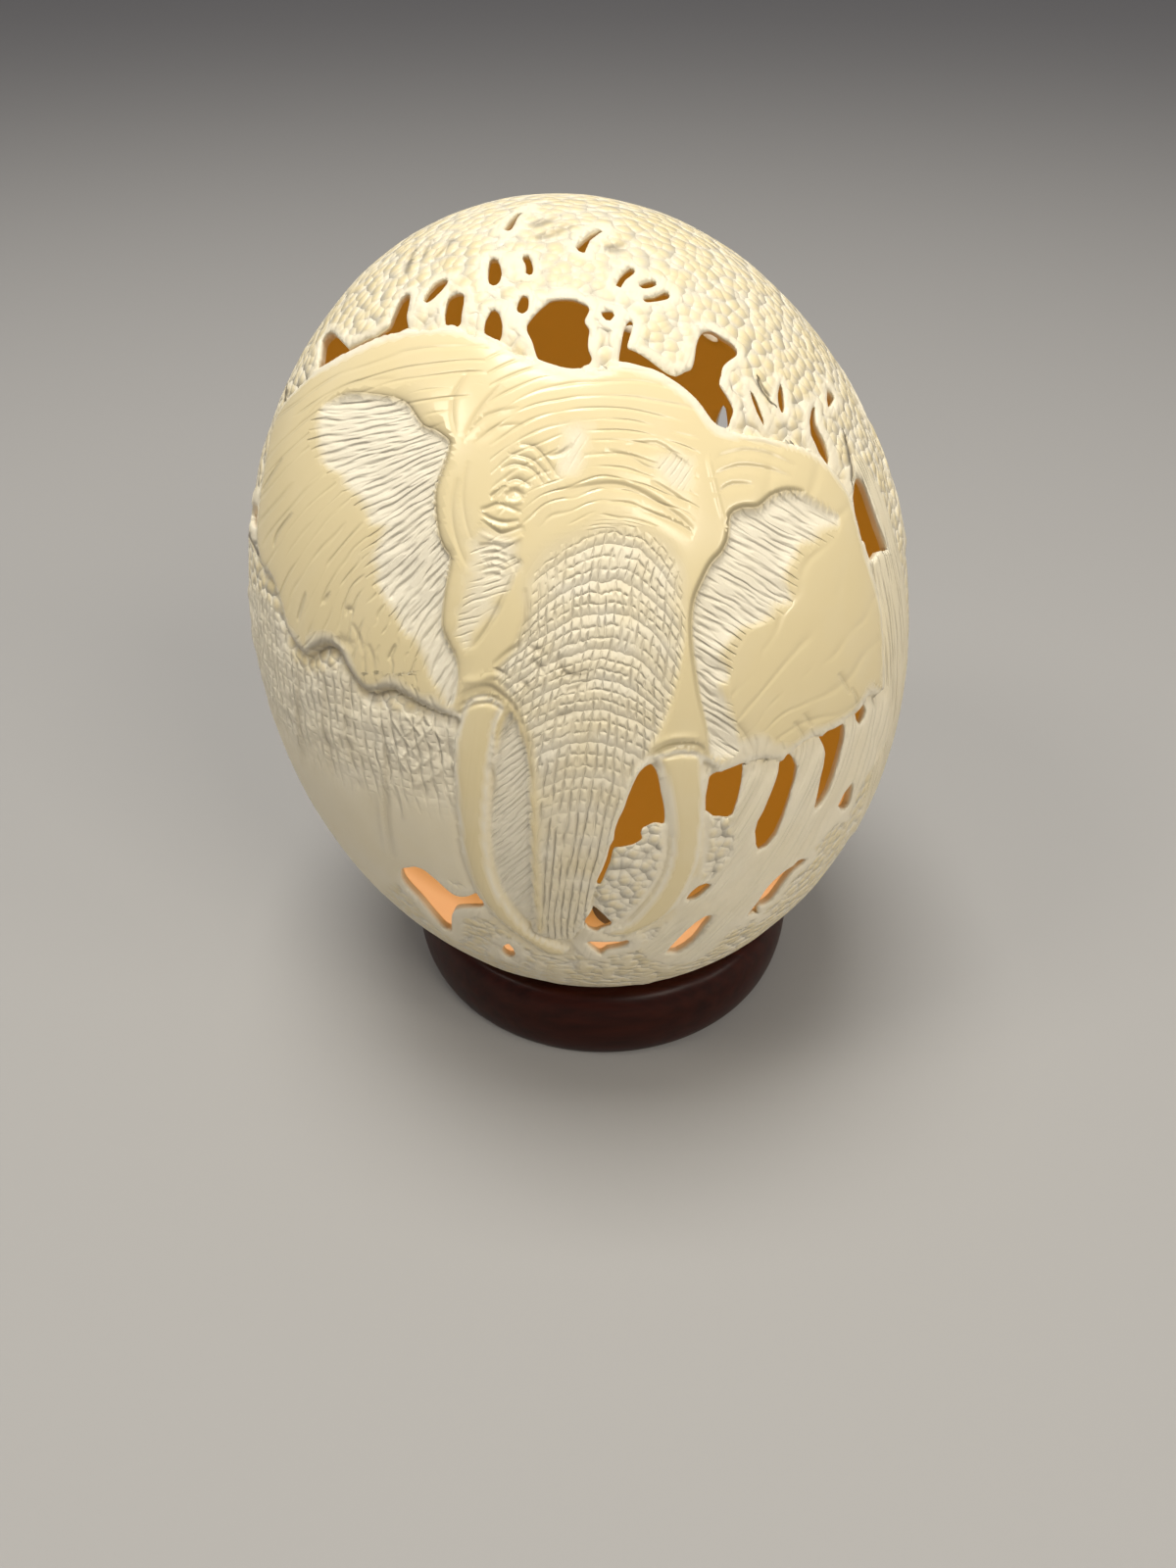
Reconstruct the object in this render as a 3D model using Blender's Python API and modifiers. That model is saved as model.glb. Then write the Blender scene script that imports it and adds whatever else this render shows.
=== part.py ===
"""A carved and pierced ostrich egg that rests in a turned wooden ring.

Units are metres and +Z is up. The origin is on the surface that the ring stands on, under the middle
of the egg. The egg leans a little, with its top towards -X, and the carved elephant faces -Y.
"""

import math

import bmesh
import bpy
from mathutils import Matrix, Vector

MM = 0.001

# The shell: an egg so even from end to end that it is an ellipsoid
EGG_HALF_WIDTH = 62.5 * MM
EGG_HALF_LENGTH = 78.9 * MM
EGG_CENTRE_HEIGHT = 79.6 * MM
EGG_LEAN = math.radians(-8.5)
SHELL_WALL = 2.4 * MM
BLOW_HOLE_RADIUS = 10.0 * MM

# How far each carved level lies under the polished skin of the egg
GROUND_DEPTH = 0.8 * MM
BODY_DEPTH = 0.35 * MM
EAR_HOLLOW_DEPTH = 0.6 * MM
TUSK_RECESS_DEPTH = 1.2 * MM
CREASE_DEPTH = 0.35 * MM

# The front of the carving is drawn flat, in millimetres across and up, on the plane through the egg's
# middle that faces the eye. Each point goes from there to the shell along the line to the eye.
EYE_DISTANCE = 226.3 * MM
EYE_ELEVATION = math.radians(31.8)

# The ring: its bead, its bore and how far its axis lies from the egg's middle
RING_RADIUS = 43.05 * MM
RING_BORE_RADIUS = 31.0 * MM
RING_HEIGHT = 17.5 * MM
RING_SHOULDER_RADIUS = 39.6 * MM
RING_FOOT_RADIUS = 40.6 * MM
RING_WIDEST_HEIGHT = 9.0 * MM
RING_OFFSET = 3.96 * MM
SEAT_GAP = 0.3 * MM

# Faces round each solid
OUTSIDE_STEPS = 48
INSIDE_STEPS = 24
RING_STEPS = 36

# How far the tools reach past the skin, and past the inside of the wall
REACH_OUT = 3.0 * MM
REACH_IN = 2.0 * MM

# The head with its ears, as one raised field
HEAD = [
    (-55.6, -4.4), (-57.4, -2.8), (-59.4, 0.6), (-60.4, 5.4), (-62.0, 10.4), (-64.0, 13.6), (-64.6, 19.0),
    (-63.8, 26.0), (-62.4, 33.0), (-60.6, 40.0), (-57.8, 44.8), (-52.6, 49.6), (-48.4, 52.1), (-43.0, 54.7),
    (-36.0, 57.0), (-30.0, 58.2), (-25.0, 58.2), (-19.4, 56.4), (-12.6, 53.4), (-7.0, 51.0), (-2.0, 50.0),
    (6.8, 51.4), (14.2, 49.7), (18.0, 47.4), (21.6, 44.4), (24.4, 40.8), (27.2, 39.2), (32.0, 38.6),
    (40.0, 37.0), (44.6, 35.2), (48.2, 32.2), (51.6, 27.8), (53.2, 23.8), (55.8, 15.0), (58.2, 8.6),
    (59.4, 2.0), (59.9, -5.0), (60.0, -11.6), (57.0, -12.8), (54.2, -16.2), (50.0, -19.2), (44.2, -22.2),
    (39.6, -25.4), (34.0, -25.8), (28.0, -27.6), (24.9, -29.6),
    (24.6, -36.0), (24.2, -41.0), (23.2, -46.0), (21.4, -50.6), (18.6, -55.2), (14.6, -59.2), (9.6, -61.9),
    (4.2, -62.4), (-0.6, -61.8), (-3.0, -65.4), (-7.6, -66.4), (-13.0, -63.4), (-17.6, -59.6), (-21.2, -55.0),
    (-23.8, -50.4), (-25.4, -45.0), (-26.2, -38.0), (-26.8, -30.0), (-26.8, -22.0), (-25.6, -17.6),
    (-29.0, -16.2), (-33.0, -14.4), (-38.4, -11.6), (-42.4, -12.0), (-45.6, -10.4), (-48.4, -5.6),
    (-49.6, -3.0), (-52.0, -2.5),
]

# The body behind the head: chest and flank at the front, on the drawing
CHEST = [
    (-57.5, -8.0), (-52.0, -6.4), (-47.0, -10.5), (-43.0, -14.0), (-34.0, -16.6), (-28.2, -19.0),
    (-28.6, -30.0), (-28.0, -38.0), (-27.0, -45.0), (-30.6, -47.6), (-34.7, -45.6), (-40.6, -45.6),
    (-47.0, -41.0), (-53.0, -31.0), (-57.6, -20.0),
]

# The white hollows of the ears, and the deep recess between the trunk and the left tusk
EAR_HOLLOWS = {
    "left_ear_hollow": [
        (-50.0, 44.2), (-46.0, 45.9), (-40.0, 46.1), (-35.6, 45.0), (-32.6, 42.0), (-30.6, 39.6), (-27.4, 38.4),
        (-25.8, 36.0), (-27.6, 31.6), (-29.2, 27.0), (-28.8, 20.0), (-27.0, 14.0), (-28.2, 5.0), (-27.6, 0.0),
        (-25.8, -5.0), (-26.0, -11.0), (-29.6, -12.4), (-34.4, -4.0), (-38.0, 2.6), (-41.0, 8.4), (-43.6, 14.0),
        (-42.0, 23.0), (-46.0, 27.6), (-50.0, 31.0), (-53.0, 36.0),
    ],
    "right_ear_hollow": [
        (28.6, 23.4), (34.0, 24.2), (37.0, 26.2), (40.4, 27.4), (44.6, 26.0), (48.4, 23.4), (50.4, 20.0),
        (46.0, 17.6), (42.0, 13.6), (44.4, 9.4), (42.4, 3.0), (36.6, 1.4), (31.6, 0.0), (29.4, -5.0),
        (28.4, -11.0), (29.4, -17.4), (31.6, -21.0), (31.6, -24.6), (27.0, -24.6), (24.0, -19.0), (22.0, -10.0),
        (21.0, 0.0), (21.6, 7.0), (23.6, 11.6), (26.4, 15.6), (28.2, 18.6),
    ],
}
TUSK_RECESS = [
    (-15.0, -14.6), (-12.4, -19.4), (-11.2, -25.0), (-10.6, -33.0), (-10.4, -46.0), (-10.0, -56.0),
    (-9.8, -60.8), (-12.8, -59.2), (-16.6, -54.6), (-18.8, -49.6), (-19.8, -43.0), (-19.6, -33.0),
    (-18.6, -25.0), (-17.2, -18.0),
]
LEAF_RECESS = [
    (16.4, -38.6), (17.0, -42.0), (16.4, -48.0), (14.6, -53.0), (11.4, -57.0), (7.2, -59.8), (4.6, -57.6),
    (2.6, -54.8), (2.0, -51.2), (4.0, -49.2), (5.6, -45.0), (8.4, -43.4), (12.0, -42.2), (13.0, -39.4),
]

# Curved creases, each from one end over its highest point to the other end
CREASES = {
    "brow": ((-16.4, 31.8), (-12.6, 33.0), (-7.0, 29.4)),
    "lid": ((-19.8, 24.0), (-16.0, 21.6), (-11.6, 21.0)),
    "forehead": ((-7.0, 26.8), (6.0, 28.4), (21.4, 18.8)),
    "trunk_1": ((-11.0, 10.0), (6.4, 17.4), (19.4, 9.2)),
    "trunk_2": ((-8.4, 6.2), (6.0, 10.2), (17.6, 2.6)),
    "trunk_3": ((-7.4, -0.8), (4.0, 3.8), (16.4, -2.6)),
    "trunk_4": ((-5.0, -5.8), (3.6, -3.3), (13.6, -7.6)),
    "trunk_5": ((-5.4, -12.2), (5.6, -9.5), (15.6, -12.6)),
    "trunk_6": ((-7.0, -17.8), (1.6, -15.4), (14.4, -19.6)),
    "trunk_7": ((-8.4, -23.6), (0.8, -22.0), (10.4, -25.2)),
    "trunk_8": ((-7.4, -28.4), (0.6, -26.4), (8.2, -28.8)),
    "trunk_9": ((-6.6, -37.8), (-0.4, -36.2), (5.6, -38.6)),
}
CREASE_WIDTH = 0.9

# What shows dark through the shell from the eye
FRONT_OPENINGS = {
    "crown_gap": [
        (-7.0, 62.2), (-4.0, 62.9), (-0.4, 62.3), (0.9, 61.4), (0.1, 59.0), (1.1, 57.4), (0.8, 54.0), (1.5, 52.2),
        (0.0, 51.4), (-0.8, 50.8), (-2.4, 50.5), (-6.0, 51.3), (-8.9, 52.6), (-10.0, 55.6), (-10.9, 58.2),
        (-8.6, 60.9),
    ],
    "left_crown_gap": [
        (-51.8, 50.2), (-50.6, 52.2), (-50.1, 55.4), (-48.4, 57.1), (-46.9, 56.0), (-45.4, 54.2), (-46.8, 53.0),
        (-49.8, 51.2),
    ],
    "twig_gap_0": [
        (-40.0, 56.6), (-37.4, 58.0), (-36.6, 59.5), (-34.9, 63.0), (-33.0, 64.1), (-33.9, 60.0), (-34.0, 58.2),
        (-35.3, 57.1), (-37.6, 56.9),
    ],
    "twig_gap_1": [(-26.8, 59.0), (-26.2, 62.2), (-25.2, 63.6), (-22.8, 64.1), (-23.4, 60.4), (-24.2, 58.9)],
    "twig_gap_2": [(-30.5, 63.1), (-29.9, 62.4), (-27.2, 64.6), (-25.6, 66.8), (-28.2, 65.9)],
    "twig_gap_3": [(-17.7, 60.9), (-16.4, 60.8), (-15.6, 58.4), (-16.2, 56.1), (-17.4, 56.3), (-19.4, 57.8)],
    "twig_gap_4": [(-17.8, 70.2), (-16.3, 70.2), (-15.6, 67.6), (-16.5, 65.8), (-17.9, 65.8), (-18.3, 67.4)],
    "twig_gap_5": [(-11.7, 70.6), (-10.5, 71.0), (-9.7, 69.2), (-9.8, 67.7), (-11.1, 67.7), (-11.0, 69.2)],
    "twig_gap_6": [(-11.8, 63.6), (-10.6, 63.4), (-10.7, 61.2), (-12.0, 60.5), (-12.9, 61.4)],
    "twig_gap_7": [(-15.2, 75.6), (-13.7, 75.7), (-12.4, 78.0), (-10.4, 79.5), (-12.9, 78.2)],
    "twig_gap_8": [(-1.6, 72.5), (0.1, 71.5), (1.2, 73.8), (4.2, 75.8), (1.2, 74.9), (-0.6, 73.4)],
    "twig_gap_9": [(6.0, 65.4), (6.9, 65.0), (7.9, 66.6), (9.8, 68.0), (8.9, 68.7), (7.0, 67.4)],
    "twig_gap_10": [(10.3, 65.7), (11.6, 65.0), (13.9, 65.7), (13.2, 66.4)],
    "twig_gap_11": [(11.3, 63.2), (12.0, 62.5), (15.9, 63.1), (16.3, 63.8), (15.4, 64.3), (13.2, 63.4)],
    "twig_gap_12": [(3.3, 60.6), (5.9, 60.6), (5.2, 59.3), (4.2, 59.3)],
    "right_crown_gap": [
        (6.8, 52.0), (7.5, 56.8), (8.2, 58.7), (9.4, 58.6), (8.5, 54.3), (11.0, 52.8), (15.8, 49.8), (17.8, 49.0),
        (20.6, 50.2), (21.4, 54.4), (22.8, 57.0), (24.8, 56.8), (29.5, 53.2), (26.8, 50.8), (26.1, 47.3),
        (28.7, 42.6), (28.3, 40.1), (26.8, 39.7), (24.4, 41.3), (20.0, 46.4), (14.2, 50.1), (9.0, 51.6),
    ],
    "ear_twig_gap_1": [(31.9, 46.4), (32.8, 45.0), (33.8, 42.8), (35.1, 39.7), (33.4, 42.2)],
    "ear_twig_gap_2": [(37.9, 47.6), (37.4, 45.6), (37.6, 43.6), (38.3, 42.0), (38.7, 43.2)],
    "ear_twig_gap_3": [(44.5, 43.5), (43.9, 42.2), (44.0, 38.0), (48.3, 32.7), (46.6, 36.4), (44.8, 39.8)],
    "ear_twig_gap_4": [(46.9, 46.4), (47.2, 43.0), (48.3, 44.8)],
    "right_ear_gap": [
        (52.9, 29.9), (53.0, 26.4), (54.6, 20.0), (56.3, 13.8), (57.8, 15.8), (59.3, 16.0), (57.4, 20.8),
        (56.0, 24.4), (54.2, 28.8),
    ],
    "trunk_gap": [
        (12.9, -26.4), (14.3, -27.6), (15.3, -32.0), (16.2, -36.6), (15.6, -38.5), (13.4, -38.3), (11.4, -40.0),
        (11.4, -41.6), (9.0, -42.8), (6.4, -43.3), (6.0, -46.6), (4.8, -49.6), (3.0, -50.2), (3.8, -46.0),
        (6.0, -39.8), (9.4, -31.0), (11.2, -27.4),
    ],
    "grass_gap_1": [
        (25.0, -29.9), (26.0, -28.5), (30.5, -26.5), (32.2, -26.0), (31.6, -29.2), (29.8, -36.2), (27.8, -36.9),
        (24.5, -35.9),
    ],
    "grass_gap_2": [
        (40.0, -25.4), (41.2, -24.1), (42.5, -26.6), (41.4, -32.8), (38.6, -40.6), (35.3, -43.9), (34.5, -40.0),
        (36.4, -35.6), (38.3, -29.9),
    ],
    "grass_gap_3": [
        (47.8, -20.4), (50.0, -19.1), (52.1, -18.3), (50.8, -25.6), (48.9, -31.8), (47.0, -34.8), (46.3, -35.0),
        (47.7, -29.6), (48.2, -24.0),
    ],
    "grass_gap_4": [(53.9, -30.0), (51.3, -34.8), (52.6, -35.4), (53.6, -32.8)],
    "grass_gap_5": [(56.2, -14.1), (54.8, -15.8), (55.1, -18.4), (56.0, -15.6)],
    "low_gap_1": [
        (44.9, -45.7), (43.4, -46.0), (38.2, -50.5), (35.6, -54.2), (33.2, -57.6), (36.4, -55.2), (39.4, -52.0),
        (41.6, -48.6),
    ],
    "low_gap_2": [
        (26.2, -57.4), (22.4, -59.0), (19.2, -62.0), (16.6, -65.2), (18.8, -65.2), (22.2, -62.8), (24.2, -60.0),
    ],
    "low_gap_3": [(25.8, -51.0), (23.2, -51.4), (20.6, -54.2), (22.4, -53.8), (24.6, -52.0)],
    "trunk_tip_gap": [
        (1.5, -56.6), (0.0, -58.2), (-0.1, -59.2), (1.8, -60.0), (5.2, -59.0), (3.4, -57.0),
    ],
    "tusk_tip_gap": [(0.4, -63.1), (6.0, -62.8), (8.6, -62.8), (7.0, -64.0), (3.2, -65.2)],
    "flank_gap": [
        (-37.4, -47.9), (-34.7, -47.3), (-30.0, -50.2), (-27.0, -52.9), (-24.4, -53.4), (-22.6, -53.2),
        (-21.2, -55.4), (-26.4, -56.0), (-27.3, -57.2), (-27.6, -60.2), (-30.4, -58.2), (-35.8, -51.6),
    ],
    "low_gap_4": [(-15.8, -63.2), (-17.3, -64.6), (-15.8, -66.0), (-14.3, -65.6)],
    "left_ear_gap": [(-65.1, 24.8), (-64.3, 24.8), (-64.7, 20.6), (-65.2, 21.8)],
}

# The far side, drawn in degrees round the egg from the middle of its front and millimetres up its axis.
# Flank and hind leg go round from the chest on the left.
FLANK = [
    (-72, 2), (-80, 9), (-92, 13), (-106, 12), (-118, 6), (-127, -5), (-132, -20), (-132, -36), (-128, -50),
    (-112, -52), (-110, -42), (-104, -37), (-92, -36), (-84, -40), (-80, -51), (-66, -50), (-58, -44), (-62, -20),
]
TREES = [
    {"azimuth": 152, "foot": -50, "fork": -12, "crown": 26, "spread": 30},
    {"azimuth": 216, "foot": -52, "fork": -16, "crown": 14, "spread": 24},
    {"azimuth": 96, "foot": -46, "fork": -8, "crown": 24, "spread": 20},
]
GRASS_GAPS = [72, 112, 128, 172, 186, 198]


def smooth_curve(points, closed, between=3):
    """A Catmull-Rom curve through flat points, with that many steps from each to the next."""
    count = len(points)
    curve = []
    for i in range(count if closed else count - 1):
        a, b, c, d = (Vector(points[(i + k) % count if closed else min(max(i + k, 0), count - 1)])
                      for k in (-1, 0, 1, 2))
        for step in range(between):
            t = step / between
            curve.append(((2 * b) + (c - a) * t + (2 * a - 5 * b + 4 * c - d) * t * t
                          + (3 * b - a - 3 * c + d) * t ** 3) / 2)
    if not closed:
        curve.append(Vector(points[-1]))
    return curve


# Places on the egg

def egg_pose():
    """The egg's own frame, with its long axis along Z, set down leaning over the ring."""
    return Matrix.Translation((0, 0, EGG_CENTRE_HEIGHT)) @ Matrix.Rotation(EGG_LEAN, 4, "Y")


def eye_frame():
    """The eye, and the drawing's across, up and forward directions, in the egg's own frame."""
    upright = Matrix.Rotation(-EGG_LEAN, 3, "Y")
    across = upright @ Vector((1, 0, 0))
    up = upright @ Vector((0, math.sin(EYE_ELEVATION), math.cos(EYE_ELEVATION)))
    forward = upright @ Vector((0, math.cos(EYE_ELEVATION), -math.sin(EYE_ELEVATION)))
    return -forward * EYE_DISTANCE, across, up, forward


def skin_normal(point):
    """The direction straight out of the egg at a point near its skin."""
    wide = EGG_HALF_WIDTH ** 2
    long = EGG_HALF_LENGTH ** 2
    return Vector((point.x / wide, point.y / wide, point.z / long)).normalized()


def drawn_point(flat, inset=0.0):
    """A point of the drawing on the skin, or that far under it, where the line from the eye meets it."""
    eye, across, up, _ = eye_frame()
    ray = across * flat[0] * MM + up * flat[1] * MM - eye
    squash = Vector((1 / (EGG_HALF_WIDTH - inset), 1 / (EGG_HALF_WIDTH - inset), 1 / (EGG_HALF_LENGTH - inset)))
    start = eye * squash
    step = ray * squash
    a = step.dot(step)
    b = start.dot(step)
    c = start.dot(start) - 1
    return eye + ray * (-b - math.sqrt(max(b * b - a * c, 0.0))) / a


def charted_point(azimuth, height):
    """A point of the skin at an azimuth in degrees, 0 at the front, and a height in millimetres."""
    rise = min(max(height * MM / EGG_HALF_LENGTH, -1.0), 1.0)
    radius = EGG_HALF_WIDTH * math.sqrt(1 - rise * rise)
    turn = math.radians(azimuth)
    return Vector((radius * math.sin(turn), -radius * math.cos(turn), height * MM))


# Building blocks

def add_object(name, mesh, collection):
    """Put a mesh in the scene as one object."""
    thing = bpy.data.objects.new(name, mesh)
    collection.objects.link(thing)
    return thing


def mesh_from(bm, name):
    """Turn a bmesh into a mesh with its faces pointing out."""
    bmesh.ops.recalc_face_normals(bm, faces=bm.faces)
    mesh = bpy.data.meshes.new(name)
    bm.to_mesh(mesh)
    bm.free()
    return mesh


def egg_solid(name, inset, steps, collection):
    """A solid ellipsoid that lies that far under the skin."""
    bm = bmesh.new()
    bmesh.ops.create_uvsphere(bm, u_segments=steps, v_segments=steps // 2, radius=1.0)
    size = (EGG_HALF_WIDTH - inset, EGG_HALF_WIDTH - inset, EGG_HALF_LENGTH - inset)
    bmesh.ops.scale(bm, vec=size, verts=bm.verts)
    return add_object(name, mesh_from(bm, name), collection)


def loft(bm, rings):
    """A closed solid through rings of points of equal count, with both ends filled."""
    loops = [[bm.verts.new(point) for point in ring] for ring in rings]
    count = len(loops[0])
    for near, far in zip(loops, loops[1:]):
        for i in range(count):
            k = (i + 1) % count
            bm.faces.new((near[i], near[k], far[k], far[i]))
    caps = [bm.faces.new(loops[0]), bm.faces.new(loops[-1])]
    bmesh.ops.triangulate(bm, faces=caps)


def field_tool(bm, outline):
    """A tool for a wide field of the drawing. Its walls stand square to the skin where they cross it."""
    eye, across, up, forward = eye_frame()
    skin = [drawn_point(flat) for flat in outline]
    above = [point + skin_normal(point) * REACH_OUT for point in skin]
    below = [point - skin_normal(point) * REACH_OUT for point in skin]
    near = []
    for point in above:
        ray = point - eye
        near.append(eye + ray * (EYE_DISTANCE - EGG_HALF_LENGTH * 1.3) / ray.dot(forward))
    far = [(across * flat[0] + up * flat[1]) * MM * 0.5 for flat in outline]
    loft(bm, [near, above, below, far])


def rim_points(outline):
    """Where the edge of an opening crosses the skin, so that the drawn outline is what shows dark.

    The side near the eye hides the wall, so it is drawn on the skin. The wall on the far side shows, so
    there the drawn outline is where the opening meets the inside of the shell.
    """
    count = len(outline)
    turning = sum(outline[i][0] * outline[(i + 1) % count][1] - outline[(i + 1) % count][0] * outline[i][1]
                  for i in range(count))
    rim = []
    for i, flat in enumerate(outline):
        along = Vector(outline[(i + 1) % count]) - Vector(outline[i - 1])
        outward = Vector((along.y, -along.x)).normalized() * math.copysign(1, turning)
        far_side = max(outward.dot(Vector(flat).normalized()), 0.0)
        under = SHELL_WALL * far_side
        point = drawn_point(flat, under)
        rim.append(point + skin_normal(point) * under)
    return rim


def opening_tool(bm, rim):
    """A tool that pierces the wall square to the skin."""
    above = [point + skin_normal(point) * REACH_OUT for point in rim]
    below = [point - skin_normal(point) * (SHELL_WALL + REACH_IN) for point in rim]
    loft(bm, [above, below])


def crescent(ends_and_top):
    """The flat outline of a crease: thin at both ends and full in its middle."""
    spine = smooth_curve(ends_and_top, closed=False, between=2)
    upper = []
    lower = []
    for i, point in enumerate(spine):
        along = spine[min(i + 1, len(spine) - 1)] - spine[max(i - 1, 0)]
        across = Vector((-along.y, along.x)).normalized()
        half = CREASE_WIDTH * math.sin(math.pi * i / (len(spine) - 1)) / 2 + 0.05
        upper.append(tuple(point + across * half))
        lower.append(tuple(point - across * half))
    return upper + lower[::-1]


def charted_outline(azimuth, height, length, width, tilt, points=8):
    """A leaf-shaped outline on the far side: its middle, its size in millimetres and its tilt in degrees."""
    middle = charted_point(azimuth, height)
    out = skin_normal(middle)
    east = Vector((0, 0, 1)).cross(out).normalized()
    north = out.cross(east)
    lean = math.radians(tilt)
    outline = []
    for i in range(points):
        turn = 2 * math.pi * i / points
        along = math.cos(turn) * length / 2
        aside = math.sin(turn) * width / 2 * (1 - 0.45 * math.cos(turn))
        x = along * math.sin(lean) + aside * math.cos(lean)
        y = along * math.cos(lean) - aside * math.sin(lean)
        flat = middle + (east * x + north * y) * MM
        scale = math.sqrt((flat.x ** 2 + flat.y ** 2) / EGG_HALF_WIDTH ** 2 + flat.z ** 2 / EGG_HALF_LENGTH ** 2)
        outline.append(flat / scale)
    return outline


def apply_boolean(target, tool, operation):
    """Join, cut or keep what is shared, at once."""
    step = target.modifiers.new(operation.lower(), "BOOLEAN")
    step.operation = operation
    step.object = tool
    step.solver = "EXACT"
    shape = target.evaluated_get(bpy.context.evaluated_depsgraph_get())
    mesh = bpy.data.meshes.new_from_object(shape)
    target.modifiers.remove(step)
    target.data = mesh


def material(name, colour, roughness):
    """A plain finish."""
    finish = bpy.data.materials.new(name)
    finish.use_nodes = True
    shader = finish.node_tree.nodes["Principled BSDF"]
    shader.inputs["Base Color"].default_value = (*colour, 1)
    shader.inputs["Roughness"].default_value = roughness
    shader.inputs["Metallic"].default_value = 0.0
    return finish


# The egg

def chart_field_tool(bm, outline):
    """A tool for a wide field of the far side."""
    skin = [charted_point(azimuth, height) for azimuth, height in outline]
    rings = [[point + skin_normal(point) * reach for point in skin]
             for reach in (EGG_HALF_WIDTH * 0.6, REACH_OUT, -REACH_OUT, -EGG_HALF_WIDTH * 0.5)]
    loft(bm, rings)


def tool_object(name, tools, fill):
    """One tool object, filled by calling a function on each of its shapes."""
    bm = bmesh.new()
    for shape in fill:
        shape(bm)
    return add_object(name, mesh_from(bm, name), tools)


def raise_field(egg, name, depth, fill, tools):
    """Raise fields of the egg to that far under the skin."""
    field = egg_solid(name, depth, OUTSIDE_STEPS, tools)
    apply_boolean(field, tool_object(name + "_outline", tools, fill), "INTERSECT")
    apply_boolean(egg, field, "UNION")


def sink_field(egg, name, depth, fill, tools):
    """Sink fields of the egg to that far under the skin."""
    field = tool_object(name, tools, fill)
    apply_boolean(field, egg_solid(name + "_floor", depth, OUTSIDE_STEPS, tools), "DIFFERENCE")
    apply_boolean(egg, field, "DIFFERENCE")


def tree_outline(tree):
    """A flat-topped tree on the far side: trunk, spreading limbs and crown, in degrees and millimetres."""
    middle = tree["azimuth"]
    spread = tree["spread"]
    right = [
        (middle + 2.4, tree["foot"]), (middle + 1.6, tree["fork"] - 8), (middle + 3, tree["fork"]),
        (middle + spread * 0.5, tree["crown"] - 13), (middle + spread * 0.95, tree["crown"] - 7),
        (middle + spread, tree["crown"] - 1), (middle + spread * 0.7, tree["crown"] + 7),
        (middle + spread * 0.25, tree["crown"] + 11),
    ]
    return right + [(2 * middle - azimuth, height) for azimuth, height in right[::-1]]


def far_gaps():
    """The outlines of the openings on the far side: between a tree's limbs, over its crown and in the grass."""
    gaps = []
    for tree in TREES:
        for k in (-2, -1, 1, 2):
            aside = (tree["spread"] * 0.12 + 2.8) * k
            rise = 15.0 - 2.4 * abs(k)
            foot = tree["crown"] - 15 + 1.6 * abs(k)
            gaps.append(charted_outline(tree["azimuth"] + aside, foot + 6, rise, 3.2, 17 * k))
        for k in (-1, 0, 1):
            gaps.append(charted_outline(tree["azimuth"] + 9 * k, tree["crown"] + 17, 7.5, 2.6, 62 + 20 * k))
    for azimuth in GRASS_GAPS:
        gaps.append(charted_outline(azimuth, -38, 15, 4.0, 14 if azimuth < 160 else -12))
    return gaps


def carve_egg(collection, tools):
    """The shell in one piece: carved levels, then the hollow, the openings and the blow hole."""
    egg = egg_solid("carved_eggshell", GROUND_DEPTH, OUTSIDE_STEPS, collection)
    raise_field(egg, "body_field", BODY_DEPTH, [
        lambda bm: field_tool(bm, CHEST),
    ], tools)
    raise_field(egg, "flank_field", BODY_DEPTH * 0.9, [
        lambda bm: chart_field_tool(bm, FLANK),
    ], tools)
    raise_field(egg, "tree_field", 0.0, [
        lambda bm, tree=tree: chart_field_tool(bm, tree_outline(tree)) for tree in TREES
    ], tools)
    raise_field(egg, "head_field", 0.0, [
        lambda bm: field_tool(bm, HEAD),
    ], tools)
    sink_field(egg, "ear_hollows", EAR_HOLLOW_DEPTH, [
        lambda bm, outline=outline: field_tool(bm, outline) for outline in EAR_HOLLOWS.values()
    ], tools)
    sink_field(egg, "tusk_recess", TUSK_RECESS_DEPTH, [
        lambda bm: field_tool(bm, TUSK_RECESS),
        lambda bm: field_tool(bm, LEAF_RECESS),
    ], tools)
    sink_field(egg, "creases", CREASE_DEPTH, [
        lambda bm, crease=crease: field_tool(bm, crescent(crease)) for crease in CREASES.values()
    ], tools)
    apply_boolean(egg, egg_solid("hollow", SHELL_WALL, INSIDE_STEPS, tools), "DIFFERENCE")
    apply_boolean(egg, tool_object("openings", tools, [
        lambda bm, rim=rim: opening_tool(bm, rim)
        for rim in [rim_points(outline) for outline in FRONT_OPENINGS.values()] + far_gaps()
    ]), "DIFFERENCE")
    bm = bmesh.new()
    bmesh.ops.create_cone(bm, cap_ends=True, segments=24, radius1=BLOW_HOLE_RADIUS, radius2=BLOW_HOLE_RADIUS,
                          depth=EGG_HALF_WIDTH * 0.4, matrix=Matrix.Translation((0, 0, -EGG_HALF_LENGTH)))
    apply_boolean(egg, add_object("blow_hole", mesh_from(bm, "blow_hole"), tools), "DIFFERENCE")
    egg.matrix_world = egg_pose()
    egg.data.shade_smooth()
    egg.data.set_sharp_from_angle(angle=math.radians(30))
    egg.data.materials.clear()
    egg.data.materials.append(material("eggshell", (0.80, 0.72, 0.50), 0.35))
    return egg


# The ring

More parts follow.
